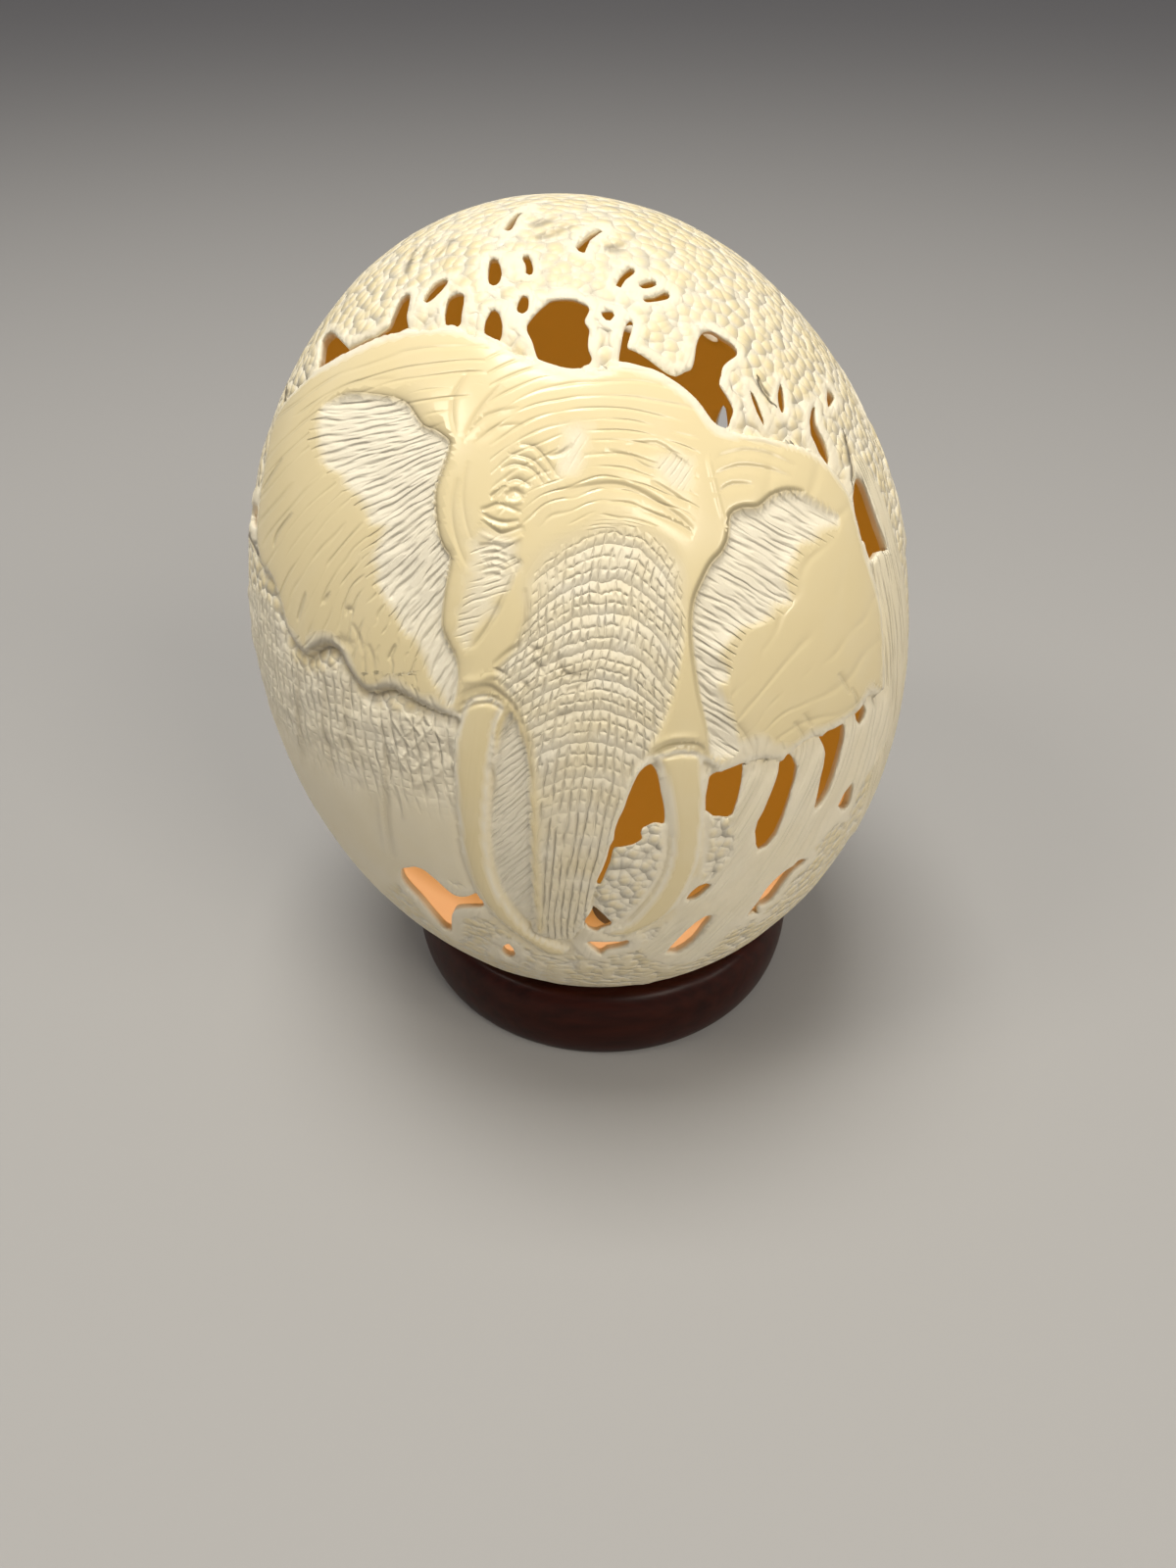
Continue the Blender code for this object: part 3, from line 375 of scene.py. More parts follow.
@dataclass(frozen=True)
class EggShape:
    """The whole egg, so even from end to end that it is an ellipsoid, and how it lies in the ring."""

    half_width: float = 62.5
    half_length: float = 78.9
    centre_height: float = 79.6
    lean: float = math.radians(-8.5)
    wall: float = 2.4

    def radii(self, inset: float = 0.0) -> np.ndarray:
        """Return the half sizes along X, Y and Z, that far under the skin."""
        return np.array([self.half_width, self.half_width, self.half_length]) - inset

    def onto_skin(self, points: np.ndarray) -> np.ndarray:
        """Return where the lines from the egg's middle through the points meet its skin."""
        return points / np.linalg.norm(points / self.radii(), axis=1, keepdims=True)

    def normals(self, skin: np.ndarray) -> np.ndarray:
        """Return the directions straight out of the skin."""
        out = skin / self.radii() ** 2
        return out / np.linalg.norm(out, axis=1, keepdims=True)

    def sink(self, skin: np.ndarray, depth: np.ndarray) -> np.ndarray:
        """Return the points that lie that far under the skin, towards the egg's middle."""
        middle = 1.0 / np.linalg.norm(skin / self.radii() ** 2, axis=1)
        return skin * (1.0 - depth / middle)[:, None]

    def upright(self, vectors: np.ndarray) -> np.ndarray:
        """Turn directions of the room into the egg's own frame."""
        c, s = math.cos(-self.lean), math.sin(-self.lean)
        return np.asarray(vectors, float) @ np.array([[c, 0, -s], [0, 1, 0], [s, 0, c]])

    def placed(self, points: np.ndarray) -> np.ndarray:
        """Return points of the egg in metres, leaning as it lies in the ring."""
        c, s = math.cos(self.lean), math.sin(self.lean)
        turned = points @ np.array([[c, 0, -s], [0, 1, 0], [s, 0, c]])
        return (turned + np.array([0, 0, self.centre_height])) * MM


@dataclass
class Sheet:
    """Points of the skin laid out flat: their places, which are on this sheet, and how it spreads."""

    flat: np.ndarray
    valid: np.ndarray
    spread: np.ndarray | None = None

    def real(self, toward: np.ndarray, chosen: np.ndarray) -> np.ndarray:
        """Return how many flat millimetres one real millimetre makes in each of those flat directions."""
        if self.spread is None:
            return np.ones(len(toward))
        rows = self.spread[chosen]
        stretched = rows[:, 0] * toward[:, :1] + rows[:, 1] * toward[:, 1:]
        return np.maximum(np.linalg.norm(stretched, axis=1), 0.3)


@dataclass(frozen=True)
class Drawing:
    """The front of the carving, drawn flat on the plane through the egg's middle that faces the eye."""

    egg: EggShape
    distance: float = 226.3
    elevation: float = math.radians(31.8)
    slant: float = 0.65
    head_rim: float = 0.35
    open_rim: float = 0.65
    longest_lean: float = 2.6

    def axes(self) -> tuple[np.ndarray, np.ndarray, np.ndarray, np.ndarray]:
        """Return the eye and the directions across, up and forward, in the egg's own frame."""
        c, s = math.cos(self.elevation), math.sin(self.elevation)
        across, up, forward = self.egg.upright([[1, 0, 0], [0, s, c], [0, c, -s]])
        return -forward * self.distance, across, up, forward

    def lay_out(self, skin: np.ndarray) -> Sheet:
        """Lay points of the skin out on the drawing."""
        eye, across, up, forward = self.axes()
        ray = skin - eye
        deep = ray @ forward
        flat = np.stack([ray @ across, ray @ up], axis=1) * (self.distance / deep)[:, None]
        normal = self.egg.normals(skin)
        facing = -np.sum(ray * normal, axis=1) / np.linalg.norm(ray, axis=1)
        spread = np.stack([
            (axis[None, :] * self.distance - flat[:, k:k + 1] * forward[None, :]) / deep[:, None]
            for k, axis in enumerate((across, up))
        ], axis=1)
        spread -= np.einsum("nkc,nc->nk", spread, normal)[:, :, None] * normal[:, None, :]
        return Sheet(flat, facing > 0.01, spread)

    def drop(self, flat: np.ndarray, inset: np.ndarray | float = 0.0) -> np.ndarray:
        """Return the skin, or that far under it, where the lines from the eye through the drawing meet it."""
        eye, across, up, _ = self.axes()
        ray = flat[:, :1] * across + flat[:, 1:] * up - eye
        squash = 1.0 / (self.egg.radii() - np.reshape(inset, (-1, 1)))
        start, step = eye * squash, ray * squash
        a, b = np.sum(step * step, axis=1), np.sum(start * step, axis=1)
        c = np.sum(start * start, axis=1) - 1
        return eye + ray * ((-b - np.sqrt(np.maximum(b * b - a * c, 0))) / a)[:, None]

    def rim(self, outline: np.ndarray) -> np.ndarray:
        """Return an opening's outline on the skin, so that what is drawn is what shows dark.

        The side near the eye hides the wall, so it is drawn at the carved edge. On the far side the wall
        shows, so there the drawn outline is where the opening meets the inside of the shell.
        """
        x, y = outline[:, 0], outline[:, 1]
        turning = np.sum(x * np.roll(y, -1) - np.roll(x, -1) * y)
        along = np.roll(outline, -1, axis=0) - np.roll(outline, 1, axis=0)
        outward = np.stack([along[:, 1], -along[:, 0]], axis=1) * math.copysign(1, turning)
        outward /= np.linalg.norm(outward, axis=1, keepdims=True)
        middle = outline / np.linalg.norm(outline, axis=1, keepdims=True)
        head = smooth_curve(np.array(HEAD), True)
        apart = np.linalg.norm(outline[:, None] - head[None], axis=2).min(axis=1)
        near = np.where(apart < 1.5, self.head_rim, self.open_rim)
        far = np.maximum(np.sum(outward * middle, axis=1), 0)
        under = near + (self.egg.wall * (1 - self.slant) - near) * far
        return self.lay_out(self.egg.onto_skin(self.drop(outline, under))).flat

    def cut_through(self, skin: np.ndarray) -> np.ndarray:
        """Return where cuts come out inside, as the cutter leans towards the line of sight."""
        ray = skin - self.axes()[0]
        facing = -np.sum(ray * self.egg.normals(skin), axis=1) / np.linalg.norm(ray, axis=1)
        shift = self.egg.onto_skin(self.drop(self.lay_out(skin).flat, self.egg.wall)) - skin
        far = np.maximum(np.linalg.norm(shift, axis=1, keepdims=True) / self.longest_lean, 1)
        return self.egg.onto_skin(skin + shift / far * self.slant * smooth_step(facing, 0.05, 0.25)[:, None])


@dataclass(frozen=True)
class Wrap:
    """The skin unrolled: across is the way round from the middle of the front, up is up the axis."""

    egg: EggShape
    middle: float = 180.0

    def lay_out(self, skin: np.ndarray) -> Sheet:
        """Unroll points of the skin."""
        azimuth = np.degrees(np.arctan2(skin[:, 0], -skin[:, 1]))
        azimuth = (azimuth - self.middle + 180) % 360 - 180 + self.middle
        return Sheet(self.flat(azimuth, skin[:, 2]), np.ones(len(skin), bool))

    def flat(self, azimuth: np.ndarray, height: np.ndarray) -> np.ndarray:
        """Return places on the unrolled skin, in millimetres."""
        return np.stack([np.radians(azimuth) * self.egg.half_width * 0.94, height], axis=1)


@dataclass(frozen=True)
class Patch:
    """The skin round one place, seen straight on, with its own east and north."""

    egg: EggShape
    azimuth: float
    height: float

    def lay_out(self, skin: np.ndarray) -> Sheet:
        """Lay points of the skin out round the place."""
        turn = math.radians(self.azimuth)
        radius = self.egg.half_width * math.sqrt(1 - (self.height / self.egg.half_length) ** 2)
        middle = np.array([[radius * math.sin(turn), -radius * math.cos(turn), self.height]])
        out = self.egg.normals(middle)[0]
        east = np.cross((0, 0, 1), out)
        east /= np.linalg.norm(east)
        offset = skin - middle
        flat = np.stack([offset @ east, offset @ np.cross(out, east)], axis=1)
        return Sheet(flat, offset @ out > -14)


@dataclass
class Line:
    """A curve on a sheet, open or closed, and how far points are from it."""

    points: np.ndarray
    closed: bool = False

    def near(self, sheet: Sheet, reach: float) -> np.ndarray:
        """Return which points lie on the sheet and in the curve's box, widened by reach."""
        low, high = self.points.min(axis=0) - reach, self.points.max(axis=0) + reach
        return np.flatnonzero(sheet.valid & np.all((sheet.flat > low) & (sheet.flat < high), axis=1))

    def measure(self, sheet: Sheet, reach: float) -> tuple[np.ndarray, ...]:
        """Measure points against the curve.

        Args:
            sheet: The points.
            reach: How far from the curve's box a point may be, in flat millimetres.

        Returns:
            Which points are near, their distance in real millimetres, above 0 inside or on the left, how
            far along the curve they are from 0 to 1, and their distance in flat millimetres.
        """
        chosen = self.near(sheet, reach)
        flat = sheet.flat[chosen]
        ends = np.roll(self.points, -1, axis=0) if self.closed else self.points[1:]
        starts = self.points if self.closed else self.points[:-1]
        best = np.full(len(flat), 1e9)
        toward = np.zeros_like(flat)
        side = np.ones(len(flat))
        along = np.zeros(len(flat))
        inside = np.zeros(len(flat), bool)
        for i, (a, b) in enumerate(zip(starts, ends)):
            ab = b - a
            t = np.clip(((flat - a) @ ab) / max(ab @ ab, 1e-9), 0, 1)
            off = flat - a - t[:, None] * ab
            square = np.sum(off * off, axis=1)
            hit = square < best
            best[hit] = square[hit]
            toward[hit] = off[hit]
            along[hit] = (i + t[hit]) / len(starts)
            side[hit] = np.where(ab[0] * off[hit, 1] - ab[1] * off[hit, 0] >= 0, 1, -1)
            if self.closed and a[1] != b[1]:
                crosses = (a[1] > flat[:, 1]) != (b[1] > flat[:, 1])
                inside ^= crosses & (flat[:, 0] < ab[0] * (flat[:, 1] - a[1]) / ab[1] + a[0])
        away = np.sqrt(best)
        direction = toward / np.maximum(away, 1e-6)[:, None]
        sign = np.where(inside, 1, -1) if self.closed else side
        return chosen, sign * away / sheet.real(direction, chosen), along, away

    def field(self, sheet: Sheet, reach: float = 4.0) -> np.ndarray:
        """Return each point's distance, as measure does, and -reach for points far off."""
        chosen, away, _, _ = self.measure(sheet, reach)
        value = np.full(len(sheet.flat), -reach)
        value[chosen] = away
        return value


@dataclass(frozen=True)
class Cut:
    """One pass of the burr: a groove, or with a depth below 0 a ridge, that thins out at its ends.

    With a fall, its left side runs out over that many millimetres, or its right side if the fall is below 0.
    """

    path: tuple[Flat, ...]
    width: float = 0.45
    depth: float = 0.25
    fall: float = 0.0
    full_ends: bool = False

    def draw(self, sheet: Sheet, faces: np.ndarray, strokes: Strokes) -> None:
        """Draw it over the triangles that lie nearer to it than to any cut before it."""
        line = Line(smooth_curve(np.array(self.path), False))
        chosen, away, along, _ = line.measure(sheet, (abs(self.fall) + self.width) * 3 + 1.0)
        near = np.zeros(len(sheet.flat), bool)
        near[chosen] = True
        full_away = np.full(len(sheet.flat), 9.0)
        full_away[chosen] = away
        taper = np.zeros(len(sheet.flat))
        taper[chosen] = 1.0 if self.full_ends else np.sqrt(np.sin(np.pi * np.clip(along, 0.0, 1.0)))
        rows = np.flatnonzero(near[faces].all(axis=1))
        corners = full_away[faces[rows]]
        score = np.abs(corners.mean(axis=1))
        rows, corners = rows[score < strokes.best[rows]], corners[score < strokes.best[rows]]
        strokes.best[rows] = np.abs(corners.mean(axis=1))
        strokes.line[rows, :, 0] = corners
        strokes.line[rows, :, 1] = self.depth * taper[faces[rows]]
        strokes.line[rows, :, 2] = self.width
        strokes.fall[rows] = self.fall


@dataclass
class Strokes:
    """For each triangle the cut nearest to it: how far its corners are from it, its depth, width and fall."""

    best: np.ndarray
    line: np.ndarray
    fall: np.ndarray

    @classmethod
    def blank(cls, count: int) -> Strokes:
        """Return that many triangles with no cut near them."""
        line = np.zeros((count, 3, 3))
        line[:, :, 2] = 1.0
        return cls(np.full(count, 9.0), line, np.zeros(count))


@dataclass
class Surface:
    """The carved skin at each point: how deep it is cut, and what its finish is."""

    depth: np.ndarray
    polish: np.ndarray
    foliage: np.ndarray
    grain_depth: np.ndarray
    brick: np.ndarray
    pattern: np.ndarray
    grains: list[np.ndarray]

    @classmethod
    def blank(cls, count: int) -> Surface:
        """Return that many points of untouched skin."""
        return cls(*(np.zeros(count) for _ in range(5)), np.zeros(count, int), [np.zeros((count, 3))])

    def lay(self, weight: np.ndarray, depth: np.ndarray | float, polish: np.ndarray | float,
            foliage: float = 0.0) -> None:
        """Put a new level over what is there, as far as the weight says."""
        self.depth += (depth - self.depth) * weight
        self.polish += (polish - self.polish) * weight
        self.foliage += (foliage - self.foliage) * weight
        self.grain_depth *= 1 - weight
        self.brick *= 1 - weight

    def comb(self, weight: np.ndarray, grain: np.ndarray, depth: np.ndarray | float) -> None:
        """Comb fine lines over the points where the weight is above a half, fading with the weight."""
        self.grains.append(grain)
        self.pattern[weight > 0.5] = len(self.grains) - 1
        self.grain_depth += (depth - self.grain_depth) * weight

    def corner_grain(self, faces: np.ndarray) -> np.ndarray:
        """Return the grain at each triangle's corners, of one pattern over the whole triangle."""
        pattern = self.pattern[faces].max(axis=1)
        return np.stack(self.grains)[pattern[:, None], faces]


def inside(sheet: Sheet, outline: tuple[Flat, ...], reach: float = 4.0) -> np.ndarray:
    """Return how far inside a smooth outline each point is, in real millimetres."""
    return Line(smooth_curve(np.array(outline), True), True).field(sheet, reach)


def flat_noise(flat: np.ndarray, wide: float, high: float, seed: int) -> np.ndarray:
    """Return soft noise over a sheet, with bumps that many flat millimetres wide and high."""
    places = np.stack([flat[:, 0] / wide, flat[:, 1] / high, np.full(len(flat), seed * 0.37)], axis=1)
    return soft_noise(places, seed)


def fan(flat: np.ndarray, centre: Flat, spacing: float, length: float, seed: float) -> np.ndarray:
    """Return grain that runs round a centre.

    Args:
        flat: Places on the drawing.
        centre: The centre of the fan.
        spacing: From one line to the next, in flat millimetres.
        length: How long a line runs before it fades.
        seed: Which pattern it is.

    Returns:
        For each place, how far along and across the grain it is, and the pattern.
    """
    offset = flat - np.array(centre)
    radius = np.linalg.norm(offset, axis=1)
    turn = np.arctan2(offset[:, 1], offset[:, 0])
    return np.stack([turn * 40.0 / length, radius / spacing, np.full(len(flat), seed)], axis=1)


def rays(flat: np.ndarray, centre: Flat, spacing: float, length: float, seed: float) -> np.ndarray:
    """Return grain that runs out from a centre, with that spacing 20 mm from it."""
    offset = flat - np.array(centre)
    radius = np.linalg.norm(offset, axis=1)
    turn = np.arctan2(offset[:, 1], offset[:, 0])
    return np.stack([radius / length, turn * 20.0 / spacing, np.full(len(flat), seed)], axis=1)


def straight(flat: np.ndarray, angle: float, spacing: float, length: float, seed: float) -> np.ndarray:
    """Return grain whose lines all rise to the right by an angle in degrees."""
    c, s = math.cos(math.radians(angle)), math.sin(math.radians(angle))
    return np.stack([(flat[:, 0] * c + flat[:, 1] * s) / length, (flat[:, 1] * c - flat[:, 0] * s) / spacing,
                     np.full(len(flat), seed)], axis=1)


@dataclass
class Openings:
    """Everything that is pierced through the shell, and the blow hole at its bottom."""

    egg: EggShape
    drawing: Drawing
    blow_hole: float = 10.0
    reach: float = 6.0
    far: list[tuple[Patch, Line]] = field(default_factory=list)

    def __post_init__(self) -> None:
        """Draw the openings of the far side round its trees and in its grass."""
        for tree in FAR_TREES:
            for k in (-2, -1, 1, 2):
                aside = (tree.spread * 0.12 + 2.8) * k
                foot = tree.crown - 15 + 1.6 * abs(k)
                self.add_leaf(tree.azimuth + aside, foot + 6, 15.0 - 2.4 * abs(k), 3.2, 17 * k)
            for k in (-1, 0, 1):
                self.add_leaf(tree.azimuth + 9 * k, tree.crown + 17, 7.5, 2.6, 62 + 20 * k)
        for azimuth in GRASS_GAPS:
            self.add_leaf(azimuth, -38, 15, 4.0, 14 if azimuth < 160 else -12)

    def add_leaf(self, azimuth: float, height: float, length: float, width: float, tilt: float) -> None:
        """Add a leaf-shaped opening, tilted by that many degrees."""
        turn = np.linspace(0, 2 * np.pi, 8, endpoint=False)
        along = np.cos(turn) * length / 2
        aside = np.sin(turn) * width / 2 * (1 - 0.45 * np.cos(turn))
        c, s = math.cos(math.radians(tilt)), math.sin(math.radians(tilt))
        outline = np.stack([along * s + aside * c, along * c - aside * s], axis=1)
        self.far.append((Patch(self.egg, azimuth, height), Line(smooth_curve(outline, True), True)))

    def field(self, skin: np.ndarray) -> np.ndarray:
        """Return how far inside an opening each point of the skin is, below 0 on the shell."""
        value = np.where(skin[:, 2] < 0, self.blow_hole - np.hypot(skin[:, 0], skin[:, 1]), -self.reach)
        value = np.maximum(value, -self.reach)
        front = self.drawing.lay_out(skin)
        for outline in FRONT_OPENINGS.values():
            rim = self.drawing.rim(np.array(outline))
            value = np.maximum(value, Line(smooth_curve(rim, True, 2), True).field(front, self.reach))
        for patch, line in self.far:
            value = np.maximum(value, line.field(patch.lay_out(skin), self.reach))
        return value


TOP_CUTS = (
    Cut(((4.0, 73.2), (5.8, 73.0), (8.4, 73.8)), 0.9, 0.8),
    Cut(((-10.2, 77.4), (-8.0, 77.9), (-5.0, 79.0)), 0.9, 0.8),
    Cut(((-9.4, 75.2), (-7.0, 75.6), (-2.2, 77.6)), 0.9, 0.8),
    Cut(((-34.8, 68.2), (-32.2, 74.0)), 0.7, 0.6),
    Cut(((-31.4, 71.4), (-29.2, 74.8)), 0.6, 0.5),
    Cut(((-29.0, 71.4), (-25.0, 75.0)), 0.6, 0.5),
    Cut(((34.4, 48.0), (34.9, 46.9), (35.6, 45.9)), 0.5, 1.1, 0.0, True),
    Cut(((51.4, 37.6), (52.4, 34.0), (52.8, 30.4)), 0.55, 1.0, 0.0, True),
    Cut(((58.6, -12.8), (58.8, -15.0)), 0.4, 0.5),
    Cut(((-66.2, 19.0), (-65.0, 15.2)), 0.5, 0.9, 0.0, True),
    Cut(((-58.3, 46.2), (-59.0, 43.6), (-60.6, 40.2)), 0.6, 1.0, 0.0, True),
)
BODY_CUTS = (
    Cut(HEAD[-13:] + HEAD[:4], 0.8, 0.9, 2.2),
    Cut(((-57.2, -7.0), (-57.8, -16.0), (-57.0, -27.0)), 1.1, 0.45),
    Cut(((-52.2, -9.0), (-52.6, -18.0), (-51.0, -30.0)), 0.9, 0.35),
    Cut(((-47.6, -10.0), (-48.2, -18.0), (-47.0, -28.0)), 0.9, 0.3),
    Cut(((-40.6, -17.0), (-40.4, -26.0), (-40.6, -36.0), (-39.4, -46.0)), 0.8, 0.4, -1.8),
    Cut(((-41.6, -17.0), (-41.6, -26.0), (-41.8, -36.0), (-40.8, -46.0)), 0.7, -0.25),
    Cut(((-39.2, -17.0), (-36.8, -21.0), (-34.0, -25.4)), 0.4, -0.35),
    Cut(((-36.4, -16.2), (-34.0, -19.4), (-31.2, -23.2)), 0.4, -0.35),
    Cut(((-33.0, -16.4), (-31.0, -19.0), (-28.8, -22.0)), 0.4, -0.3),
    Cut(((-39.6, -22.0), (-37.6, -25.4), (-35.4, -28.6)), 0.4, -0.3),
    Cut(((-39.4, -22.6), (-36.0, -20.0), (-32.6, -16.4)), 0.4, -0.3),
    Cut(((-38.6, -26.0), (-34.6, -22.6), (-30.4, -18.0)), 0.4, -0.3),
    Cut(((-36.4, -28.4), (-32.4, -25.8), (-28.4, -22.4)), 0.5, -0.3),
    Cut(((-35.6, -31.0), (-32.0, -29.6), (-28.6, -27.4)), 0.6, -0.3),
    Cut(((-38.8, -30.0), (-37.4, -34.0), (-37.0, -38.0)), 0.4, -0.25),
)
FOREHEAD_CUTS = (
    Cut(((-7.0, 26.8), (0.0, 28.2), (6.5, 28.6), (12.0, 26.6), (18.0, 22.8), (21.4, 19.6)), 0.5, 0.32, -2.0),
    Cut(((4.0, 35.2), (9.0, 33.8), (12.0, 32.0), (15.0, 31.4)), 0.4, 0.2, -0.9),
    Cut(((8.0, 36.0), (14.0, 36.4), (18.0, 33.8), (20.4, 32.0)), 0.4, 0.2, -0.9),
    Cut(((13.0, 29.4), (17.0, 27.0), (20.4, 24.6)), 0.4, 0.22, -0.9),
    Cut(((10.0, 24.0), (16.0, 22.0), (20.0, 20.2), (21.4, 18.8)), 0.4, 0.2, -0.9),
    Cut(((24.0, 34.0), (25.6, 28.0), (27.4, 21.4)), 0.4, -0.18),
)
EYE_CUTS = (
    Cut(((-15.4, 29.0), (-13.0, 29.8), (-10.4, 28.4)), 0.4, 0.4, 0.8),
    Cut(((-18.4, 26.2), (-17.0, 27.2), (-15.4, 28.6)), 0.35, 0.35),
    Cut(((-15.6, 26.2), (-13.6, 27.4), (-11.8, 26.2)), 0.55, 0.4),
    Cut(((-15.4, 25.6), (-13.6, 25.2), (-12.0, 25.8)), 0.45, -0.25),
    Cut(((-20.4, 23.8), (-18.8, 24.2), (-16.4, 24.9), (-12.2, 23.2)), 0.35, 0.3),
    Cut(((-20.4, 23.4), (-18.0, 22.0), (-15.4, 21.4), (-12.8, 21.8)), 0.35, 0.3),
    Cut(((-20.2, 21.8), (-17.5, 19.8), (-15.8, 19.3), (-11.8, 20.6)), 0.45, 0.4, -1.0),
    Cut(((-20.6, 19.6), (-17.6, 18.2), (-14.6, 17.8), (-12.0, 19.0)), 0.4, -0.2),
    Cut(((-16.4, 31.6), (-13.5, 32.6), (-10.0, 31.5), (-7.8, 28.6)), 0.35, 0.34, 0.7),
    Cut(((-14.7, 34.6), (-11.0, 33.8), (-9.0, 32.5), (-6.6, 29.6)), 0.35, 0.34, 0.7),
    Cut(((-12.7, 36.4), (-9.5, 35.8), (-7.0, 33.0), (-5.0, 30.0)), 0.35, 0.34, 0.7),
    Cut(((-7.5, 34.0), (-4.5, 34.6), (-2.4, 36.2)), 0.35, 0.25),
    Cut(((-21.0, 17.0), (-17.8, 17.2), (-15.4, 16.4)), 0.35, 0.22),
    Cut(((-20.4, 15.4), (-17.6, 15.8), (-15.2, 15.0)), 0.35, 0.22),
    Cut(((-20.2, 14.0), (-17.6, 14.4), (-15.2, 13.6)), 0.35, 0.22),
    Cut(((-20.0, 12.6), (-17.6, 13.0), (-15.6, 12.2)), 0.35, 0.22),
    Cut(((-20.0, 11.2), (-17.8, 11.6), (-16.0, 10.8)), 0.35, 0.2),
    Cut(((-14.6, 15.2), (-14.0, 13.4), (-13.6, 11.8)), 0.5, 0.2),
    Cut(((-24.6, 30.0), (-25.8, 24.0), (-25.0, 18.0), (-23.0, 13.0)), 0.4, 0.2, 0.9),
    Cut(((-22.6, 33.0), (-23.6, 27.0), (-23.2, 22.0), (-22.0, 18.0)), 0.35, 0.16, 0.9),
    Cut(((-21.0, 36.6), (-17.0, 39.4), (-12.0, 40.0)), 0.35, 0.16, -0.9),
    Cut(((-23.4, 37.0), (-19.0, 41.6), (-13.0, 43.0)), 0.35, 0.16, -0.9),
)
CHEEK_CUTS = (
    Cut(((-12.6, 14.4), (-14.8, 9.8), (-17.2, 4.6), (-19.8, 0.2), (-22.4, -3.0)), 0.4, 0.3),
    Cut(((-11.8, 9.0), (-11.4, 3.4), (-12.2, -1.6), (-15.0, -3.6), (-18.8, -6.8)), 0.4, 0.3),
    Cut(((-18.2, -6.6), (-17.0, -7.6), (-15.6, -8.2)), 0.35, 0.4),
    Cut(((-24.6, -9.6), (-21.0, -9.4), (-18.4, -8.2), (-15.4, -9.6), (-13.4, -12.0), (-12.2, -15.0)),
        0.7, -0.35),
    Cut(((-25.0, -12.6), (-22.6, -11.2), (-19.4, -10.6), (-17.0, -12.0), (-15.0, -14.0), (-13.5, -16.5),
         (-12.2, -19.6), (-11.4, -24.0), (-11.0, -30.0)), 0.6, 0.45),
    Cut(((-10.8, -5.4), (-9.4, -6.4), (-8.2, -8.2)), 0.5, 0.4),
    Cut(((-13.2, -9.6), (-11.8, -10.4), (-11.4, -11.6)), 0.5, 0.35),
    Cut(((-11.2, -2.6), (-9.8, -3.4), (-8.6, -3.2)), 0.5, 0.35),
    Cut(((-4.6, -4.4), (-5.2, -6.0), (-3.6, -8.2), (-1.0, -8.4), (1.2, -7.8)), 0.45, 0.35),
    Cut(((-4.0, -11.4), (-1.6, -11.0), (0.6, -9.6)), 0.45, 0.3),
    Cut(((-6.0, -17.6), (-4.6, -16.6), (-1.6, -15.6)), 0.5, 0.3),
)
TUSK_CUTS = (
    Cut(((13.4, -24.8), (15.4, -23.4), (17.4, -22.6), (20.0, -22.3), (22.4, -22.4), (24.2, -23.6)),
        0.45, 0.4),
    Cut(((13.6, -22.8), (16.8, -21.2), (20.0, -20.8), (23.0, -21.0)), 0.6, -0.3),
    Cut(((16.0, -25.2), (19.6, -24.4), (22.8, -24.6)), 0.35, 0.22),
    Cut(((-25.8, -16.4), (-22.4, -14.4), (-19.0, -14.0), (-16.4, -15.6)), 0.35, 0.22),
    Cut(((-25.4, -14.8), (-22.4, -13.0), (-19.0, -12.6), (-16.6, -13.8)), 0.35, 0.2),
)
LEFT_EAR_CUTS = (
    Cut(LEFT_HOLLOW_SHARP, 0.45, 0.75, 1.8),
    Cut(((-62.8, 27.5), (-61.0, 30.4), (-58.6, 33.8)), 0.35, 0.3),
    Cut(((-61.0, 17.0), (-60.0, 19.6), (-57.0, 23.4)), 0.35, 0.3),
    Cut(((-56.8, 2.4), (-56.0, 5.0), (-55.0, 8.0)), 0.35, 0.28),
    Cut(((-51.7, 5.9), (-51.0, 6.9), (-50.4, 7.8)), 0.35, 0.3),
    Cut(((-39.0, -5.2), (-38.2, -3.8), (-37.5, -2.2)), 0.35, 0.3),
    Cut(((-47.2, 4.0), (-46.5, 4.4), (-46.0, 4.2)), 0.6, 0.4),
    Cut(((-49.0, -0.6), (-47.4, -1.8), (-45.6, -2.6)), 0.9, 0.25),
    Cut(((-46.0, 2.0), (-44.6, -1.0), (-44.0, -4.0)), 0.5, 0.2),
    Cut(((-43.0, -2.0), (-42.0, -5.0), (-42.0, -8.0)), 0.5, 0.2),
    Cut(((-55.0, 40.0), (-50.0, 44.8), (-44.0, 47.8), (-36.0, 48.6)), 0.4, 0.12, -1.2),
    Cut(((-24.6, 38.0), (-25.4, 42.0), (-24.8, 46.0), (-22.0, 50.0)), 0.4, 0.2, -0.9),
    Cut(((-22.8, 38.0), (-20.0, 43.0), (-16.0, 47.4)), 0.4, 0.18, -0.9),
)
